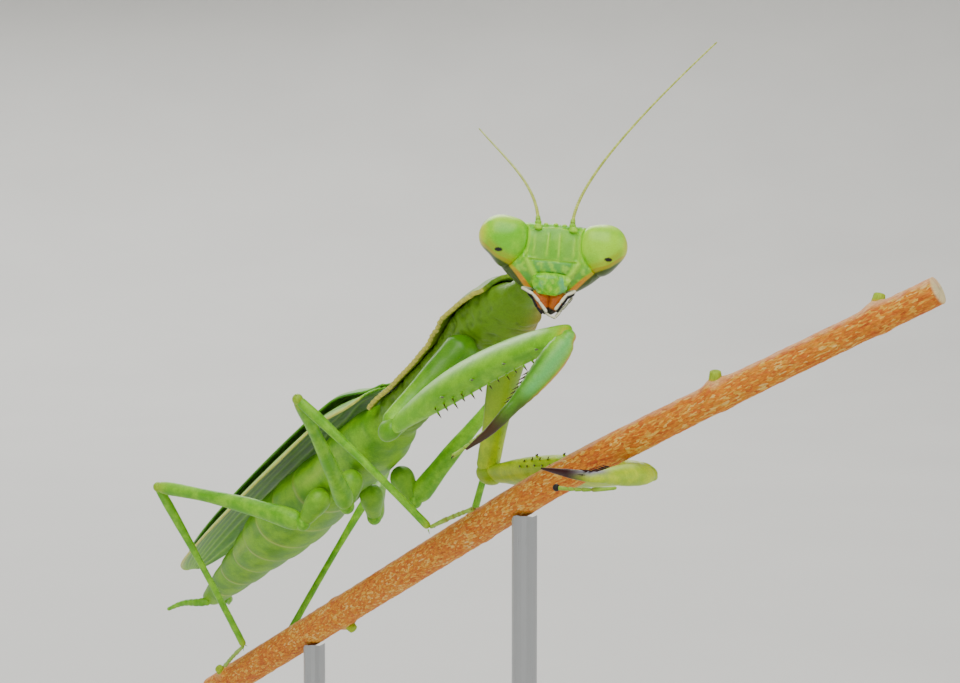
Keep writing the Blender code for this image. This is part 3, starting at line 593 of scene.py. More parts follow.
def build_mouth():
    """Upper lip, jaws, palps and under lip."""
    bm = new_mesh()

    def lumps(s, turn, lay):
        lobes = 0.08 * sin(lay.x * 7.0) * sin(lay.y * 6.0) + 0.14 * rough(lay, 0.24, 3.0)
        return lobes - 0.06 * bump(lay.x, 0, 0.08) * step(0.55, 0.9, s)

    def patches(s, turn, lay):
        flank = step(0.3, 0.75, abs(lay.x) + 0.25 * rough(lay, 0.35, 8.0))
        return (flank * step(-0.1, 0.3, rough(lay, 0.4, 8.0)) * 0.75,
                max(step(0.2, 0.5, rough(lay, 0.22, 5.0)) * 0.4, step(0.86, 0.97, s) * 0.6))
    lip = rounded([Vector(p) for p in ((0, -1.12, -1.3), (0, -1.36, -1.55), (0, -1.34, -1.95),
                                       (0, -1.24, -2.25), (0, -1.12, -2.46))])
    head_link(bm, lip, [(0.0, 0.98, 0.2), (0.3, 1.06, 0.26), (0.62, 0.98, 0.27), (0.88, 0.72, 0.25),
                        (1.0, 0.5, 0.2)], 60, 80, relief=lumps, marks=patches, ends=(0.8, 0.5))
    finish_piece("upper_lip", bm, FINISH["lip"], ["labrum"])

    bm = new_mesh()
    head_link(bm, bowed(Vector((0, 0.35, -2.3)), Vector((0, 0.15, -3.35))),
              [(0.0, 0.7, 0.3), (0.4, 0.6, 0.28), (1.0, 0.3, 0.24)], 14, 24,
              marks=lambda s, turn, lay: (0.5, step(0.6, 0.85, s)))
    head_link(bm, bowed(Vector((0, -0.1, -1.9)), Vector((0, -0.2, -3.15))),
              [(0.0, 0.85, 0.55), (0.5, 0.62, 0.5), (1.0, 0.3, 0.34)], 20, 28,
              marks=lambda s, turn, lay: (0.7, 0))
    finish_piece("under_lip", bm, FINISH["jaw"], ["labium"])

    # each palp is a chain: its joints, its radius, and how black and how grey it is
    palps = {
        "left": [([(1.45, -1.15, -2.14), (0.95, -1.48, -2.4), (0.66, -1.58, -2.85), (0.4, -1.58, -3.26)],
                  0.11, 0, 0),
                 ([(1.4, -1.0, -2.3), (1.02, -1.3, -2.55), (0.78, -1.42, -2.95), (0.5, -1.45, -3.36)],
                  0.08, 1, 0),
                 ([(1.3, -0.9, -2.5), (1.1, -1.2, -2.8), (0.78, -1.35, -3.2), (0.45, -1.4, -3.64)],
                  0.09, 0, 0.6)],
        "right": [([(-1.6, -1.15, -2.2), (-0.95, -1.48, -2.5), (-0.57, -1.6, -2.9), (-0.1, -1.6, -3.44)],
                   0.11, 0, 0),
                  ([(-1.2, -1.0, -2.5), (-0.93, -1.3, -2.74), (-0.66, -1.4, -3.2), (-0.34, -1.45, -3.54)],
                   0.08, 1, 0),
                  ([(-0.2, -1.5, -3.46), (0.12, -1.55, -3.64), (0.42, -1.52, -3.74), (0.66, -1.45, -3.42)],
                   0.07, 0, 0.1)]}
    for side, hand in ((1, "left"), (-1, "right")):
        bm = new_mesh()
        jaw = rounded([Vector((side * x, y, z)) for x, y, z in
                       ((0.5, -0.75, -2.2), (0.48, -0.82, -2.6), (0.3, -0.84, -3.05), (0.08, -0.78, -3.56))])
        head_link(bm, jaw, [(0.0, 0.54, 0.32), (0.35, 0.5, 0.36), (0.65, 0.36, 0.32), (1.0, 0.16, 0.14)],
                  28, 24, marks=lambda s, turn, lay: (step(0.3, 0.6, s) * 0.6, step(0.7, 0.78, s)))
        finish_piece(f"jaw_{hand}", bm, FINISH["jaw"], [f"mandible_{hand}"])

        bm = new_mesh()
        for joints, radius, black, grey in palps[hand]:
            joints = [Vector(joint) for joint in joints]
            root = Vector((side * 0.95, -0.35, -2.25))
            if joints[0].z > -3:                       # the last link hangs on the one before it
                head_link(bm, bowed(root, joints[0]), [(0.0, radius, radius), (1.0, radius, radius)], 10, 14,
                          marks=lambda s, turn, lay: (max(grey, 0.5), black))
            for a, b in zip(joints, joints[1:]):
                # each link is also black down one side: partly the palp's black stripe, partly painted shade
                # on its lower side
                head_link(bm, bowed(a, b + (b - a).normalized() * 0.05),
                          [(0.0, radius * 0.85, radius * 0.85), (1.0, radius, radius)], 8, 14,
                          marks=lambda s, turn, lay: (grey, max(black, step(0.5, 0.8, side * cos(turn)))))
        finish_piece(f"palp_{hand}_links", bm, FINISH["palp"], [f"palp_{hand}"])


# ---------------------------------------------------------------- trunk
def down_and_back(length, pitch):
    """A stretch of the body that slopes down to the rear, by degrees."""
    return Vector((0, length * cos(radians(pitch)), -length * sin(radians(pitch))))


PROTHORAX_LENGTH, PTEROTHORAX_LENGTH, ABDOMEN_LENGTH = 17.5, 8.5, 26.0
THORAX_LENGTH = PROTHORAX_LENGTH + PTEROTHORAX_LENGTH
PROTHORAX_PITCH = 30           # degrees that it slopes down to the waist
WAIST = down_and_back(PROTHORAX_LENGTH, PROTHORAX_PITCH)
ABDOMEN_FRONT = WAIST + down_and_back(PTEROTHORAX_LENGTH, 26)
TAIL = ABDOMEN_FRONT + down_and_back(ABDOMEN_LENGTH, 29)
RINGS = 8                      # rings of the abdomen
RING_LENGTH = ABDOMEN_LENGTH / RINGS
PROTHORAX = [(0.0, 1.3, 1.0), (0.05, 1.65, 1.35), (0.14, 1.95, 1.5), (0.24, 2.15, 1.5),
             (0.34, 1.85, 1.35), (0.46, 1.5, 1.2), (0.62, 1.4, 1.15), (0.8, 1.4, 1.2),
             (0.93, 1.55, 1.35), (1.0, 1.5, 1.3)]


def trunk_sizes(run):
    """Half width and half height of the trunk, at a distance behind the neck joint."""
    if run < 0:
        return read_rows([(-3.6, 0.78, 0.7), (-1.2, 0.98, 0.8), (0.0, 1.1, 0.84)], run)
    if run < PROTHORAX_LENGTH:
        return [size * WITHIN for size in read_rows(PROTHORAX, run / PROTHORAX_LENGTH)]
    if run < THORAX_LENGTH:
        rows = [(0.0, 1.5, 1.35), (0.12, 1.95, 1.7), (0.35, 2.35, 2.05), (0.7, 2.5, 2.15),
                (1.0, 2.35, 1.95)]
        behind = (run - PROTHORAX_LENGTH) / PTEROTHORAX_LENGTH
        return [size * WITHIN for size in read_rows(rows, behind)]
    share = min(1.0, (run - THORAX_LENGTH) / ABDOMEN_LENGTH)
    girth = (1 - 1.38 * max(0.0, share - 0.3) ** 2) * (0.92 + 0.18 * sin(pi * min(1.0, share * 1.6)))
    local = (share * RINGS) % 1.0
    swell = mix(0.95, 1.01, step(0.0, 0.75, local)) - 0.05 * step(0.9, 1.0, local)
    return [2.55 * girth * swell, 2.0 * girth * swell]


def build_trunk():
    """One skin from the neck to the tail, ringed along the abdomen."""
    nape = HEAD_FRAME @ Vector((0.1, 1.2, -0.7))
    path = rounded([nape, HEAD_FRAME @ Vector((0.1, 2.2, -0.7)), Vector((0, -0.3, 0.12)),
                    Vector((0, 1.0, -0.45)), WAIST, ABDOMEN_FRONT, TAIL])
    length = sum((path(i / 200) - path((i + 1) / 200)).length for i in range(200))
    neck_length = length - THORAX_LENGTH - ABDOMEN_LENGTH

    def half(s):
        return trunk_sizes(s * length - neck_length)

    def creases(lay):
        return 1 - step(0.0, 0.13, abs(rough(Vector((lay.x, lay.y * 1.4, lay.z)), 0.9, 9.0)))

    def relief(s, turn, lay):
        run = s * length - neck_length
        flank = bump(abs(lay.x) / 2.4, 0.95, 0.12) * bump(lay.z, -0.25, 0.3) * step(20, 24, run)
        wrinkles = 0.07 * rough(Vector((lay.x, lay.y * 2.2, lay.z)), 0.5) - 0.16 * creases(lay)
        wrinkles *= (1 - step(15, 20, run)) * step(-0.5, 0.5, run)
        folds = 0.05 * sin(run * 9.0) * (1 - step(-0.6, 0.0, run))
        under_rim = (facing(turn, 34, 16) + facing(turn, 146, 16)) * band(run, 0.5, 16.6, 0.5)
        breast = 0.7 * facing(turn, -48, 36) * band(run, 0.0, 3.2, 0.9)
        return wrinkles + folds + 0.4 * under_rim + breast - 0.14 * flank + 0.02 * rough(lay, 0.8, 2.0)

    def marks(s, turn, lay):
        run = s * length - neck_length
        local = ((run - THORAX_LENGTH) / RING_LENGTH) % 1.0
        hem = step(0.8, 0.95, local) * step(0, 0.5, run - THORAX_LENGTH)
        shoulder = 1 - step(14.0, 19.0, run)
        breast = facing(turn, -40, 30) * 0.5 * band(run, 0.0, 3.0, 1.0)
        pleura = bump(abs(lay.x) / 2.4, 0.95, 0.12) * bump(lay.z, -0.25, 0.3) * step(20, 24, run)
        # the last mask darkens the creases of the prothorax: painted shade
        return (hem * 0.55, shoulder, pleura * 0.7, breast,
                creases(lay) * 0.5 * (1 - step(15, 18, run)) * step(0.0, 0.8, run))
    bm = new_mesh()
    loft(bm, path, half, steps=340, sides=44, relief=relief, marks=marks, ends=(0.3, 0.8))
    finish_piece("trunk_skin", bm, FINISH["trunk"],
                 ["neck", "prothorax", "pterothorax", "abdomen"])

    for side, hand in ((1, "left"), (-1, "right")):
        root = TAIL + Vector((side * 1.25, -0.6, -0.1))
        tip = root + Vector((side * 1.3, 3.1, -0.9))
        socket = TAIL + Vector((side * 0.45, -1.0, 0.05))      # buried in the last ring
        bm = new_mesh()
        loft(bm, rounded([socket, root, mix(root, tip, 0.5) + UP * 0.3, tip]),
             lambda s: (mix(0.36, 0.14, s) * (0.88 + 0.14 * abs(sin(pi * 9 * s))),) * 2,
             steps=80, sides=16)
        finish_piece(f"cercus_{hand}_rings", bm, FINISH["leg"], [f"cercus_{hand}"])


def build_pronotum():
    """The shield over the prothorax, with a toothed rim, a keel and a crosswise groove."""
    side_way = Vector((1, 0, 0))
    upright = side_way.cross(down_and_back(1.0, PROTHORAX_PITCH))
    steps, across, teeth = 210, 56, 30
    half_arc = radians(64)
    bm = new_mesh()

    def surface(share, x):
        half_side, half_up = read_rows(PROTHORAX, share)
        angle = x * half_arc
        rim = abs(x) ** 3
        tooth = max(0.0, sin(tau * teeth * share)) * step(0.965, 1.0, abs(x)) * 0.16
        wide = half_side + 0.45 + 0.55 * rim + tooth - 0.08
        lay = Vector((x * half_side * 1.5, share * 17.0, half_up))
        lift = 0.07 * bump(x, 0, 0.03) - 0.1 * bump(share, 0.27 + 0.05 * x * x, 0.012)
        lift += 0.05 * rough(Vector((lay.x * 0.7, lay.y * 1.3, 1.0)), 0.55)
        lift += 0.12 * (1 - step(0.0, 0.03, share))    # the rolled front lip
        tall = half_up + 0.45 + lift
        place = (mix(Vector(), WAIST, 0.02 + 0.95 * share)
                 + side_way * wide * sin(angle) + upright * tall * cos(angle))
        return place, lay, (step(0.965, 0.995, abs(x)), step(0.7, 1.0, abs(x)) * 0.4, bump(x, 0, 0.03) * 0.5)
    grid = bmesh.ops.create_grid(bm, x_segments=across, y_segments=steps, size=1.0)["verts"]
    for vert in grid:
        place, lay, marks = surface(round((vert.co.y / 2 + 0.5) * steps) / steps, vert.co.x)
        vert.co = place
        mark(bm, vert, lay, marks)
    add_sheet_piece("pronotum_shield", bm, FINISH["pronotum"], ["pronotum"], 0.3)


def add_sheet_piece(name, bm, material, nodes, thickness):
    """Finish an open surface as a thin shell with smoothed faces."""
    piece = finish_piece(name, bm, material, nodes, levels=0)
    wall = piece.modifiers.new("thickness", "SOLIDIFY")
    wall.thickness = thickness * MM
    wall.offset = 0.0
    smooth = piece.modifiers.new("smooth", "SUBSURF")
    smooth.levels = smooth.render_levels = 1


def build_tegmen(hand, side, sink):
    """One leathery forewing with raised veins, folded flat over the back."""
    steps, across = 150, 44
    vein_roots = (0.1, 0.3, 0.44, 0.56, 0.68, 0.8, 0.92)
    bm = new_mesh()
    grid = bmesh.ops.create_grid(bm, x_segments=across, y_segments=steps, size=1.0)["verts"]
    for vert in grid:
        share, spread = vert.co.y / 2 + 0.5, vert.co.x / 2 + 0.5
        taper = sqrt(max(0.0, 1 - (max(0.0, share - 0.55) / 0.452) ** 2))
        outer = 3.75 * (0.55 + 0.45 * min(1.0, share / 0.28) ** 0.7) * taper
        inner = -2.4 * min(1.0, 0.25 + share / 0.3) * taper
        across_mm = mix(inner, outer, spread)
        wide = outer - inner + 0.001
        vein = max(bump((spread - mix(root, 0.5 + (root - 0.5) * 0.9, share)) * wide, 0, 0.11)
                   for root in vein_roots)
        run = 32.5 * share
        rooted = (0.7 - 0.7 * sink) * (1 - step(0.0, 0.16, share))
        sunk = sink + 0.15 * across_mm ** 2 - 0.06 * vein + rooted
        vert.co = Vector((side * across_mm, 16.4 + run, -5.95 - 0.46 * run - 0.0024 * run * run - sunk))
        costal = step(0.86, 0.96, spread)
        stigma = exp(-((run - 13.0) / 1.3) ** 2 - ((spread - 0.72) * wide / 0.35) ** 2)
        mark(bm, vert, Vector((across_mm, run, 0)), (vein, costal, stigma, step(0.97, 1.0, spread)))
    add_sheet_piece(f"tegmen_{hand}_veined", bm, FINISH["wing"], [f"tegmen_{hand}"], 0.16)


# ---------------------------------------------------------------- legs
FORE_COXA = [(0.0, 0.95, 0.95), (0.12, 1.15, 1.1), (0.35, 0.95, 1.0), (0.7, 0.75, 0.85),
             (0.92, 0.72, 0.8), (1.0, 0.6, 0.68)]
WALKING_COXA = [(0.0, 0.8, 0.8), (0.3, 0.85, 0.85), (1.0, 0.5, 0.5)]
THIGH = [(0.0, 0.5, 0.55), (0.08, 0.66, 0.72), (0.3, 0.5, 0.6), (0.7, 0.38, 0.42),
         (0.92, 0.4, 0.45), (1.0, 0.34, 0.38)]
SHANK = [(0.0, 0.3, 0.32), (0.1, 0.32, 0.36), (0.5, 0.22, 0.24), (0.9, 0.24, 0.26), (1.0, 0.24, 0.26)]


def sized(rows):
    """Half sizes along a segment, read from its rows and kept inside its solid."""
    return lambda s: [size * WITHIN for size in read_rows(rows, s)]


def femur_depth(s):
    """Half depth of the grasping femur: a quick swell, then a long taper to the knee."""
    if s < 0.4:
        return mix(0.62, 1.35, sin(pi * s / 0.8))
    return mix(0.62, 1.35, cos(pi * (s - 0.4) / 1.2) ** 0.8)


FEMUR_FLATNESS = 0.6           # half width of the grasping femur, in its half depths
TIBIA_DEPTHS = [(0.0, 0.45), (0.1, 0.68), (0.2, 0.78), (0.3, 0.8), (0.4, 0.78), (0.5, 0.74), (0.6, 0.68),
                (0.7, 0.6), (0.8, 0.5), (0.9, 0.41), (1.0, 0.34)]


# a foreleg's masks are: yellow or orange, deep green, pale, sea green, lilac, and dark
DARK = 5


def near_thigh(s, turn):
    """The near femur: a pale band along its upper face, which is a painted highlight."""
    knee = facing(turn, -20, 50) * step(0.93, 1.0, s) * 0.5
    return (knee, 0.35 * facing(turn, -60, 40) * band(s, 0.2, 0.85, 0.1),
            facing(turn, 14, 24) * band(s, 0.1, 0.84, 0.08) * 0.55, 0, 0, 0)


def near_shank(s, turn):
    """The near tibia: sea green and pale along the back as a painted bluish sheen, shaded within, an orange
    outer edge.
    """
    edge = facing(turn, 140, 17) * band(s, 0.2, 0.98, 0.1) + facing(turn, 130, 26) * bump(s, 0.06, 0.08)
    return (min(1.0, edge), 0.85 * max(facing(turn, 5, 32) * step(0.2, 0.5, s), step(0.6, 0.95, s)),
            0.4 * facing(turn, 84, 20) * band(s, 0.1, 0.6, 0.15),
            facing(turn, 72, 36) * band(s, 0.04, 0.84, 0.1) * 0.9, 0,
            0.55 * facing(turn, 130, 50) * step(0.78, 1.0, s))


def far_thigh(s, turn):
    """The far femur: its own lime yellow, with painted shade in deeper green below."""
    return (0, 0.3 * facing(turn, 140, 60), 0, 0, 0, 0)


def far_shank(s, turn):
    """The far tibia: yellow green, with an upper edge that goes from mint to lilac."""
    return (0, 0.3 * facing(turn, 120, 40), 0.55 * facing(turn, -26, 22) * band(s, 0.35, 0.85, 0.12), 0,
            0.8 * facing(turn, -34, 46) * step(0.74, 1.0, s),
            0.7 * facing(turn, 142, 10) * band(s, 0.02, 0.5, 0.05))


def spine_row(bm, path, half_depth, flatness, axes, places, lengths, sideways, radius,
              slant=0.28, dark=0.25):
    """Spines along the biting edge, leaning towards the segment's tip by the slant."""
    biting, side, along = axes
    for i, s in enumerate(places):
        depth = half_depth(s)
        root = path(s) + biting * depth * 0.82 + side * sideways * depth * flatness * 0.6
        lean = (biting + side * sideways * 0.45 + along * slant).normalized()
        tip = root + lean * lengths[i % len(lengths)]
        spike(bm, root, tip, radius, dark=dark, slot=DARK)


def build_foreleg(hand, hip, trochanter, knee, wrist, claw_bend, claw_tip, foot, bow, tilt,
                  flatness, looks, finish):
    """A raptorial foreleg: coxa, trochanter, spiny femur, and a tibia ending in a hook.

    Both segments' spines are turned upwards by the tilt, the flatness is the tibia's half
    width in its half depths, and looks gives the masks of the femur and of the tibia.
    """
    biting = square_to(knee - trochanter, (wrist - knee).normalized() + UP * tilt)
    tibia_biting = square_to(wrist - knee, (trochanter - knee).normalized() + UP * tilt)
    thigh_marks, shank_marks = looks
    bm = new_mesh()
    ridge = lambda s, turn, lay: 0.06 * bump(sin(turn), 1, 0.1) + 0.02 * rough(lay, 0.4)
    loft(bm, bowed(hip, trochanter), sized(FORE_COXA), steps=60, sides=32, relief=ridge,
         marks=lambda s, turn, lay: (0, 0.8 * (1 - step(0.3, 0.9, s))))
    forward = square_to(trochanter - hip, Vector((0, -1, 0.3)))
    for i in range(7):
        s = 0.2 + 0.11 * i
        root = mix(hip, trochanter, s) + forward * read_rows(FORE_COXA, s)[1] * 0.9
        spike(bm, root, root + forward * 0.22, 0.07, dark=0.6, slot=DARK)

    # the trochanter is the short link that the femur turns on
    along = (knee - trochanter).normalized()
    loft(bm, bowed(trochanter - along * 0.55, trochanter + along * 1.1),
         lambda s: (0.5 + 0.1 * sin(pi * s), 0.66 + 0.16 * sin(pi * s)), steps=20, sides=24, up=-biting,
         marks=lambda s, turn, lay: (0, 0.5))
    path = bowed(trochanter + along * 0.5, knee, bow)
    side = biting.cross(along).normalized()

    def thigh_relief(s, turn, lay):
        groove = 0.12 * bump(sin(turn), -1, 0.12) * band(s, 0.2, 0.9, 0.1)
        return 0.03 * bump(sin(turn), 1, 0.05) - groove + 0.02 * rough(lay, 0.5, 4.0)
    loft(bm, path, lambda s: (femur_depth(s) * FEMUR_FLATNESS * WITHIN, femur_depth(s) * WITHIN),
         steps=90, sides=44, up=-biting, relief=thigh_relief,
         marks=lambda s, turn, lay: thigh_marks(s, turn), ends=(1.0, 1.1))
    axes = (biting, side, along)
    laid = 0.6 + tilt              # the spines of the leg that is turned up lie flatter
    spine_row(bm, path, femur_depth, FEMUR_FLATNESS, axes, [0.33 + 0.17 * i for i in range(4)],
              [0.75 - 0.45 * tilt, 0.65 - 0.35 * tilt], 0.8, 0.12, slant=laid + 0.8)
    spine_row(bm, path, femur_depth, FEMUR_FLATNESS, axes, [0.26 + 0.048 * i for i in range(13)],
              [0.65, 0.4], -0.8, 0.1, slant=laid)
    spine_row(bm, path, femur_depth, FEMUR_FLATNESS, axes, [0.27 + 0.05 * i for i in range(4)],
              [0.5, 0.8, 0.6, 0.7], 0.0, 0.1, slant=laid)

    # tibia and hook in one sleeve, with spines along the biting edge
    along = (wrist - knee).normalized()
    length = (wrist - knee).length
    inset = 0.45 / length
    tibia_depth = lambda s: read_rows(TIBIA_DEPTHS, (s - inset) / (1 - inset))[0]
    side = tibia_biting.cross(along).normalized()
    shank = bowed(knee - along * 0.15, wrist, bow * -0.3)
    path = rounded([shank(i / 8) for i in range(9)] + [mix(wrist, claw_bend, 0.6), claw_bend, claw_tip], 2)
    reach = sum((path((i + 1) / 200) - path(i / 200)).length for i in range(200))
    wrist_at = length / reach

    def shank_half(s):
        if s < wrist_at:
            depth = tibia_depth(s / wrist_at) * WITHIN
            return depth * flatness * mix(1, 1.25, step(0.6, 1.0, s / wrist_at)), depth
        depth = mix(0.33, 0.05, ((s - wrist_at) / (1 - wrist_at)) ** 1.5)
        return depth * flatness * 1.25, depth

    def hooked_marks(s, turn, lay):
        hook = step(wrist_at - 0.03, mix(wrist_at, 1, 0.5), s)
        masks = shank_marks(min(1.0, s / wrist_at), turn)
        return (*masks[:DARK], max(hook, masks[DARK] * (1 - hook)))
    loft(bm, path, shank_half, steps=110, sides=36, up=-tibia_biting, marks=hooked_marks, ends=(1.0, 0.3),
         relief=lambda s, turn, lay: 0.02 * rough(lay, 0.4, 7.0))
    # the lashes of the leg that is turned up are longer, lie flatter and start further out
    axes = (tibia_biting, side, along)
    spine_row(bm, path, lambda s: shank_half(s)[1], flatness, axes,
              [(0.6 + 0.15 * tilt + 0.058 * i) * wrist_at for i in range(7)],
              [0.6 + 0.2 * tilt, 0.66 + 0.2 * tilt], 0.9, 0.09, slant=1.7 + 2.5 * tilt, dark=-0.3)
    spine_row(bm, path, lambda s: shank_half(s)[1], flatness, axes,
              [(0.34 + 0.2 * tilt + 0.05 * i) * wrist_at for i in range(12)],
              [0.36 + 0.5 * tilt, 0.42 + 0.5 * tilt], -0.8, 0.07, slant=0.8 + 3.5 * tilt, dark=0.1)
    finish_piece(f"foreleg_{hand}_skin", bm, FINISH[finish],
                 [f"foreleg_{hand}_{part}" for part in ("coxa", "femur", "tibia")])
    build_foot(f"foreleg_{hand}", foot, 0.14, padded=hand == "left")


def build_foot(name, reach, radius=0.17, padded=False):
    """Five beads, each flared at its end, then two small claws, and a dark pad if asked."""
    controls = [Vector(point) for point in reach]
    joints = (0.0, 0.42, 0.58, 0.7, 0.8, 1.0)
    bm = new_mesh()
    for a, b in zip(joints, joints[1:]):
        loft(bm, lambda s: bezier(controls, mix(a, b + 0.015, s)),
             lambda s: (radius * mix(0.72, 1.08, s ** 2), radius * mix(0.75, 1.1, s ** 2)),
             steps=12, sides=12,
             marks=lambda s, turn, lay: (0, step(0.75, 1.0, s) * 0.6, 0))
    end, back = bezier(controls, 1.0), bezier(controls, 0.9)
    ahead = (end - back).normalized()
    if padded:
        ball(bm, Matrix.Translation(end) @ Matrix.Scale(radius * 1.5, 4), 3, marks=lambda point: (1,))
    side = ahead.cross(UP).normalized()
    for way in (1, -1):
        root = end - ahead * 0.12 + side * way * 0.07
        spike(bm, root, root + ahead * 0.25 + side * way * 0.1 - UP * 0.1, 0.06, bend=UP * 0.06, dark=0.1)
    finish_piece(f"{name}_foot", bm, FINISH["foot"], [f"{name}_tarsus"])


def build_walking_leg(name, hip, trochanter, knee, ankle, foot):
    """Coxa, trochanter, slim femur and tibia, and the foot that lies along the stem."""
    bm = new_mesh()
    pore = lambda s, turn, lay: 0.015 * rough(lay, 0.35, 5.0)
    loft(bm, bowed(hip, trochanter), sized(WALKING_COXA), steps=24, sides=24, relief=pore,
         marks=lambda s, turn, lay: (0, 0, 0.3))
    along = (knee - trochanter).normalized()
    ball(bm, Matrix.Translation(trochanter) @ Matrix.Diagonal((0.5, 0.55, 0.55, 1)), 3)
    path = bowed(trochanter, knee, UP * 0.25)
    ridge = lambda s, turn, lay: 0.03 * bump(abs(sin(turn)), 1, 0.08) + pore(s, turn, lay)
    loft(bm, path, sized(THIGH), steps=60, sides=24, relief=ridge,
         marks=lambda s, turn, lay: (0, step(0.9, 1.0, s) * 0.5, 0))
    ball(bm, Matrix.Translation(knee) @ Matrix.Diagonal((0.34, 0.38, 0.36, 1)), 3,
         marks=lambda point: (0, 0.5, 0))
    spike(bm, knee, knee + along * 0.45 + UP * 0.05, 0.08, dark=0.5)
    shank = bowed(knee, ankle, square_to(ankle - knee, UP) * 0.1)
    loft(bm, shank, sized(SHANK), steps=60, sides=20, relief=pore,
         marks=lambda s, turn, lay: (0, step(0.93, 1.0, s) * 0.6, 0))
    down = (ankle - knee).normalized()
    inward = square_to(down, trochanter - knee)
    for i in range(9):
        s = 0.3 + 0.072 * i
        root = shank(s) + inward * 0.17
        spike(bm, root, root + inward * 0.2 + down * 0.12, 0.045, dark=0.4)
    for way in (1, -1):
        side = down.cross(inward) * way
        spike(bm, ankle + side * 0.12, ankle + side * 0.28 + down * 0.3, 0.06, dark=0.4)
    finish_piece(f"{name}_skin", bm, FINISH["leg"],
                 [f"{name}_{part}" for part in ("coxa", "femur", "tibia")])
    build_foot(name, [mix(ankle, foot, 0.02), mix(ankle, foot, 0.5) + UP * 0.12, foot])


def build_legs():
    """Two grasping forelegs, and four legs that hold the stem behind."""
    build_foreleg("right", hip=Vector((-1.4, 2.9, -2.6)), trochanter=Vector((-6.5, 4.1, -7.9)),
                  knee=Vector((-1.75, -8.6, -1.55)), wrist=Vector((-5.0, -7.7, -5.6)),
                  claw_bend=Vector((-6.1, -7.2, -6.9)), claw_tip=Vector((-7.2, -6.5, -7.9)),
                  foot=[(-4.9, -7.4, -5.6), (-5.8, -5.9, -7.3), (-7.3, -5.2, -8.4)],
                  bow=Vector((0.0, 0.0, 0.65)), tilt=0.0, flatness=0.95,
                  looks=(near_thigh, near_shank), finish="foreleg")
    build_foreleg("left", hip=Vector((1.4, 3.2, -2.8)), trochanter=Vector((1.7, 6.6, -11.3)),
                  knee=Vector((3.25, -9.3, -9.5)), wrist=Vector((-2.05, -11.65, -9.2)),
                  claw_bend=Vector((-2.75, -10.8, -9.1)), claw_tip=Vector((-3.6, -8.5, -8.95)),
                  foot=[(-0.9, -11.95, -9.8), (-2.3, -11.2, -10.0), (-3.3, -9.6, -9.9)],
                  bow=Vector((0.3, 0, 0.1)), tilt=0.8, flatness=0.68,
                  looks=(far_thigh, far_shank), finish="far_foreleg")
    for side, hand in ((1, "left"), (-1, "right")):
        reach = 0.0 if hand == "left" else 1.6     # the right middle foot is a step ahead
        build_walking_leg(f"midleg_{hand}", Vector((side * 1.6, 18.3, -12.1)),
                          Vector((side * 2.5, 17.4, -14.3)),
                          Vector((side * (7.6 + 0.6 * reach), 13.6 - reach, -6.6)),
                          Vector((side * 1.85 - 0.25, 8.6 - reach, -15.1 + 0.45 * reach)),
                          Vector((side * 1.4 - 0.25, 4.0 - reach, -13.4 + 0.45 * reach)))
        reach = 0.0 if hand == "right" else 1.5    # the left hind foot is a step behind
        build_walking_leg(f"hindleg_{hand}", Vector((side * 1.7, 22.2, -13.9)),
                          Vector((side * 2.7, 23.6, -16.2)),
                          Vector((side * 9.3, 33.0 + reach, -14.4)),
                          Vector((side * 1.85 - 0.25, 34.8 + reach, -26.6 - 0.45 * reach)),
                          Vector((side * 1.4 - 0.25, 39.2 + reach * 0.6, -28.9 - 0.3 * reach)))


# ---------------------------------------------------------------- perch and stand
STEM_REAR = Vector((-0.25, 44.5, -31.95))
STEM_MIDDLE = Vector((-0.25, -6.6, -9.3))
STEM_FRONT = Vector((10.5, -24.7, 1.2))
STEM_RADII = [(0.0, 1.12), (0.5, 1.05), (1.0, 0.8)]


def build_perch():
    """The cut stem: furrowed bark, leaf scars, and the stubs of the stalks cut from it."""
    ahead = (STEM_MIDDLE - STEM_REAR).normalized()
    turn_in = mix(STEM_REAR, STEM_MIDDLE, 10 / 12)
    front = [turn_in + ahead * 1.8, STEM_MIDDLE + ahead * 3.5, mix(STEM_MIDDLE, STEM_FRONT, 0.45), STEM_FRONT]
    path = rounded([STEM_REAR, turn_in] + [bezier(front, i / 15) for i in range(16)], 2)
    # how far along each leaf scar sits, and on which side of the stem
    scars = ((0.05, 0.6), (0.3, 4.4), (0.56, 2.6), (0.83, 1.3), (0.955, 1.9))

    def near(s, turn, at, way, long, wide):
        return exp(-((s - at) / long) ** 2 - (atan2(sin(turn - way), cos(turn - way)) / wide) ** 2)

    def relief(s, turn, lay):
        fibres = Vector((lay.x, lay.y * 0.2, lay.z))
        rise = 0.035 * rough(fibres, 0.22) + 0.025 * rough(Vector((lay.x, lay.y * 0.5, lay.z)), 0.14, 4.0)
        for at, way in scars:
            rise += 0.07 * exp(-((s - at) / 0.006) ** 2) + 0.2 * near(s, turn, at, way, 0.008, 0.6)
        return rise - 0.05

    def marks(s, turn, lay):
        scar = max(near(s, turn, at + 0.002, way, 0.004, 0.45) for at, way in scars)
        # painted light: the upper side of the stem is paler, where light falls from above
        painted_top_light = step(0.5, 1.0, sin(turn) + 0.3 * rough(lay, 0.5, 3.0)) * 0.6
        cut = max(1 - step(0.0, 0.003, s), step(0.997, 1.0, s))
        return (max(scar * 0.6, cut), painted_top_light)
    bm = new_mesh()
    radius = lambda s: read_rows(STEM_RADII, s)[0]
    loft(bm, path, lambda s: (radius(s),) * 2, steps=620, sides=64, relief=relief, marks=marks,
         ends=(0.12, 0.12))
    for at, way in scars:
        # each stub leans forwards and ends in a flat cut
        run = (path(at + 0.01) - path(at - 0.01)).normalized()
        side = run.cross(UP).normalized()
        out = side * cos(way) + side.cross(run) * sin(way)
        root = path(at) + out * radius(at) * 0.7
        loft(bm, bowed(root, root + out * 0.75 + run * 0.45), lambda s: (mix(0.42, 0.3, s),) * 2, steps=16,
             sides=20, up=run, ends=(0.2, 0.25),
             marks=lambda s, turn, lay: (step(0.9, 0.97, s) * 0.7, 0, step(0.25, 0.6, s)))
    finish_piece("perch_stem_bark", bm, FINISH["bark"], ["perch_stem"], levels=0)


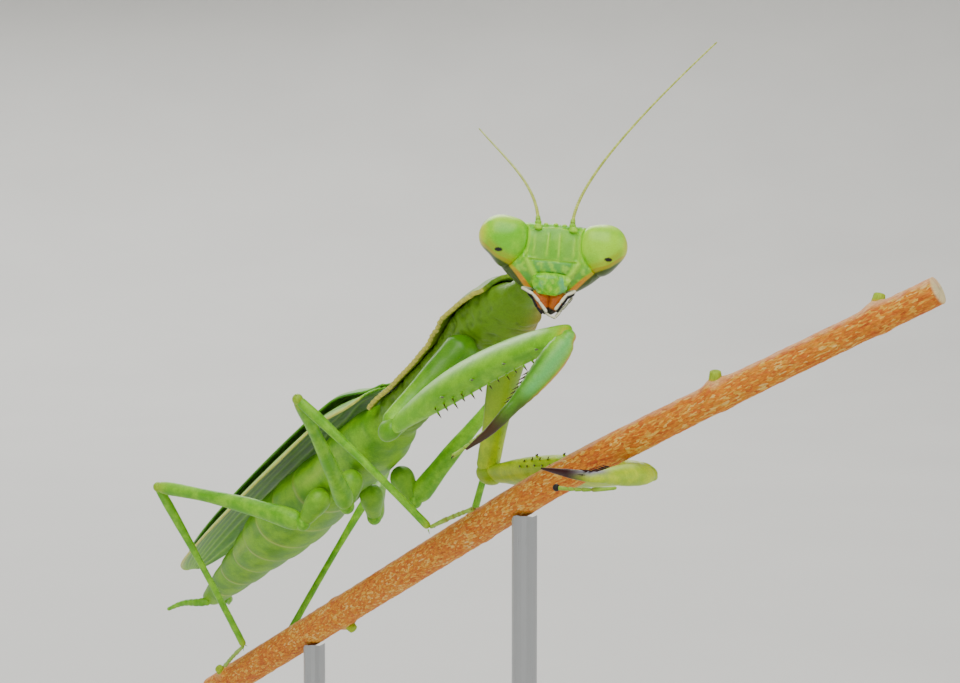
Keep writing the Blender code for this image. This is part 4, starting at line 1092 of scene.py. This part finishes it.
# ---------------------------------------------------------------- every finish, by use
FINISH = {
    # satin skin with bluish and yellow patches and a light gloss
    "head": cuticle("glossy_face_cuticle", "#62B800", "#88D404",
                    ["#78BC34", "#60B044", "#B8EC38", "#3C5400", "#B8B000", "#E09400"],
                    mottle=0.9, grain=0.06, coat=0.05, rough_range=(0.28, 0.45), glow=0.05),
    # smoother than the face, for one soft highlight on the dome
    "eye": cuticle("glossy_compound_eye", "#70C800", "#A8E800",
                   ["#ACA800", "#3C5400", "#D0FC58", "#DCE020", "#040302"],
                   mottle=2.2, grain=0.05, relief=0.002, coat=0.06, rough_range=(0.3, 0.38), glow=0.1),
    # glossier than the face, so that its bumps glint
    "lip": cuticle("bumpy_lip_cuticle", "#5CB800", "#98E004", ["#50B080", "#C8F050"],
                   mottle=0.4, grain=0.06, coat=0.15, rough_range=(0.26, 0.4)),
    # amber horn that reddens and then turns black towards the tip
    "jaw": cuticle("amber_jaw_cuticle", "#C86400", "#E88A00", ["#A04000", "#0A0504"],
                   mottle=0.5, grain=0.05, coat=0.2, rough_range=(0.25, 0.4)),
    # pale satin links, and dark ones beside them
    "palp": cuticle("ivory_palp_cuticle", "#DCD8B4", "#F2F0DA", ["#8C9474", "#0A0806"],
                    mottle=0.4, grain=0.05, rough_range=(0.35, 0.5)),
    # dry straw, ringed finely
    "antenna": cuticle("straw_antenna_cuticle", "#A8B838", "#CCD860", ["#8CCC1C", "#6A6A10", "#7A7A20"],
                       mottle=0.8, grain=0.05, rough_range=(0.4, 0.6)),
    # satin green, paler along the ring hems
    "trunk": cuticle("green_body_cuticle", "#549400", "#7CB80C",
                     ["#B0C02C", "#669400", "#A0C83C", "#C07C00", "#355C00"],
                     mottle=1.6, grain=0.1, relief=0.02, rough_range=(0.38, 0.55), glow=0.05),
    # matt leathery olive with dark specks and a cream toothed rim
    "pronotum": cuticle("olive_shield_cuticle", "#547F06", "#7E9E0E", ["#D8CC60", "#93A010", "#A4B41E"],
                        mottle=1.2, grain=0.12, relief=0.03, rough_range=(0.38, 0.6), speckle="#3C5E06"),
    # leather drawn out along the wing, with paler raised veins
    "wing": cuticle("leathery_forewing", "#40860C", "#62A41C", ["#8CC83C", "#A4CC3A", "#EFF3D8", "#CCD05A"],
                    mottle=1.3, grain=0.22, relief=0.02, stretch=(1, 0.6, 1), rough_range=(0.35, 0.5)),
    # fresh satin green that blushes violet and brown towards the claw
    "foreleg": cuticle("grasping_leg_cuticle", "#6CB404", "#8CD010",
                       ["#E09000", "#3C7800", "#B8E890", "#60BC5C", "#9480AC", "#3C2400"],
                       mottle=1.0, grain=0.08, coat=0.08, rough_range=(0.3, 0.45), glow=0.05),
    # the same skin, but yellower
    "far_foreleg": cuticle("yellow_grasping_leg_cuticle", "#9CC000", "#C4DC00",
                           ["#E09000", "#74A000", "#C8F090", "#60BC5C", "#9080B0", "#30080C"],
                           mottle=1.0, grain=0.08, rough_range=(0.34, 0.5)),
    # plain satin green, yellower at the knees and ankles, with dark spurs
    "leg": cuticle("walking_leg_cuticle", "#5CA40C", "#84C41C", ["#2C1406", "#A8B81C", "#6C940C"],
                   mottle=0.9, grain=0.07, rough_range=(0.34, 0.5), glow=0.05),
    # paler than the leg, browner at the end of each bead, with dark claws
    "foot": cuticle("foot_cuticle", "#80AE1E", "#A4C43C", ["#120A04", "#80601C"],
                    mottle=0.5, grain=0.05, rough_range=(0.35, 0.5)),
    # dry and rough, with hardly any shine
    "bark": twig_bark("orange_twig_bark"),
    # fine lines along the rod
    "steel": made_surface("brushed_steel_rod", "#A9ABAE", 0.3, metallic=1.0, grain=(0.06, 0.06, 1.6)),
    # even satin white with a faint clear surface
    "base": made_surface("satin_white_acrylic", "#ECEBE7", 0.38, grain=(0.8, 0.8, 0.8), coat=0.2),
    # matt, so that only soft shadows show on it
    "floor": made_surface("pale_matt_floor", "#D9D8D3", 0.8, grain=(30, 30, 30), relief=0.0),
}

build_head()
for side, hand in ((1, "left"), (-1, "right")):
    build_eye(side, hand)
    build_antenna(hand)
build_mouth()
build_trunk()
build_pronotum()
build_tegmen("right", -1, -0.12)
build_tegmen("left", 1, -0.85)
build_legs()
build_perch()
for node, finish in (("stand_base", "base"), ("stand_rod_front", "steel"), ("stand_rod_rear", "steel")):
    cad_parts[node].material_slots[0].material = FINISH[finish]


# ---------------------------------------------------------------- floor, light and camera
def build_floor():
    """A pale round floor that curves up far away, so that no edge shows."""
    bm = bmesh.new()
    for i in range(25):
        reach = 1.3 * i / 24
        bm.verts.new((reach, 0, base_low.z + 1.8 * max(0.0, reach - 0.3) ** 2.4))
    bm.verts.ensure_lookup_table()
    for a, b in zip(bm.verts[:], bm.verts[1:]):
        bm.edges.new((a, b))
    bmesh.ops.spin(bm, geom=bm.verts[:] + bm.edges[:], axis=(0, 0, 1), cent=(0, 0, 0), angle=tau,
                   steps=128, use_merge=True)
    bmesh.ops.remove_doubles(bm, verts=bm.verts, dist=0.0001)
    bmesh.ops.recalc_face_normals(bm, faces=bm.faces)
    mesh = bpy.data.meshes.new("studio_floor")
    bm.to_mesh(mesh)
    bm.free()
    mesh.shade_smooth()
    mesh.materials.append(FINISH["floor"])
    floor = bpy.data.objects.new("studio_floor", mesh)
    bpy.context.scene.collection.objects.link(floor)


def add_light(name, place, target, size, power, colour="#FFFFFF"):
    """A square soft box that faces a target; places are in metres."""
    lamp = bpy.data.lights.new(name, "AREA")
    lamp.shape = "SQUARE"
    lamp.size = size
    lamp.energy = power
    lamp.color = srgb(colour)[:3]
    thing = bpy.data.objects.new(name, lamp)
    thing.location = place
    thing.rotation_mode = "QUATERNION"
    thing.rotation_quaternion = (Vector(target) - Vector(place)).to_track_quat("-Z", "Y")
    bpy.context.scene.collection.objects.link(thing)


CAMERA_AWAY = 130.0


def add_camera():
    """Looks at the face from 30 degrees to the animal's right and a little above."""
    turn, rise = radians(-30), radians(4)
    right = Vector((cos(turn), sin(turn), 0))
    ahead = Vector((-sin(turn) * cos(rise), cos(turn) * cos(rise), -sin(rise)))
    above = right.cross(ahead)
    # the head stands to the right of the middle of the view and above it
    aim = NECK + HEAD_AT - right * 4.14 - above * 5.07
    lens = bpy.data.cameras.new("camera")
    lens.sensor_width = 36.0
    lens.lens = 86.0
    lens.clip_start = 0.001
    camera = bpy.data.objects.new("camera", lens)
    bpy.context.scene.collection.objects.link(camera)
    matrix = Matrix((right, above, -ahead)).transposed().to_4x4()
    matrix.translation = (aim - ahead * CAMERA_AWAY) * MM
    camera.matrix_world = matrix
    bpy.context.scene.camera = camera


build_floor()
middle = (cad_box[0] + cad_box[1]) / 2
add_light("key_box", middle + Vector((-0.2, -0.25, 0.45)), middle, 0.5, 3.6)
add_light("fill_box", middle + Vector((0.4, -0.3, 0.15)), middle, 0.5, 0.8)
add_light("rim_box", middle + Vector((0.1, 0.4, 0.35)), middle, 0.4, 2.4)
world = bpy.data.worlds.new("studio_air")
bpy.context.scene.world = world
world.use_nodes = True
world.node_tree.nodes["Background"].inputs["Color"].default_value = srgb("#E8EAEC")
world.node_tree.nodes["Background"].inputs["Strength"].default_value = 0.16
add_camera()
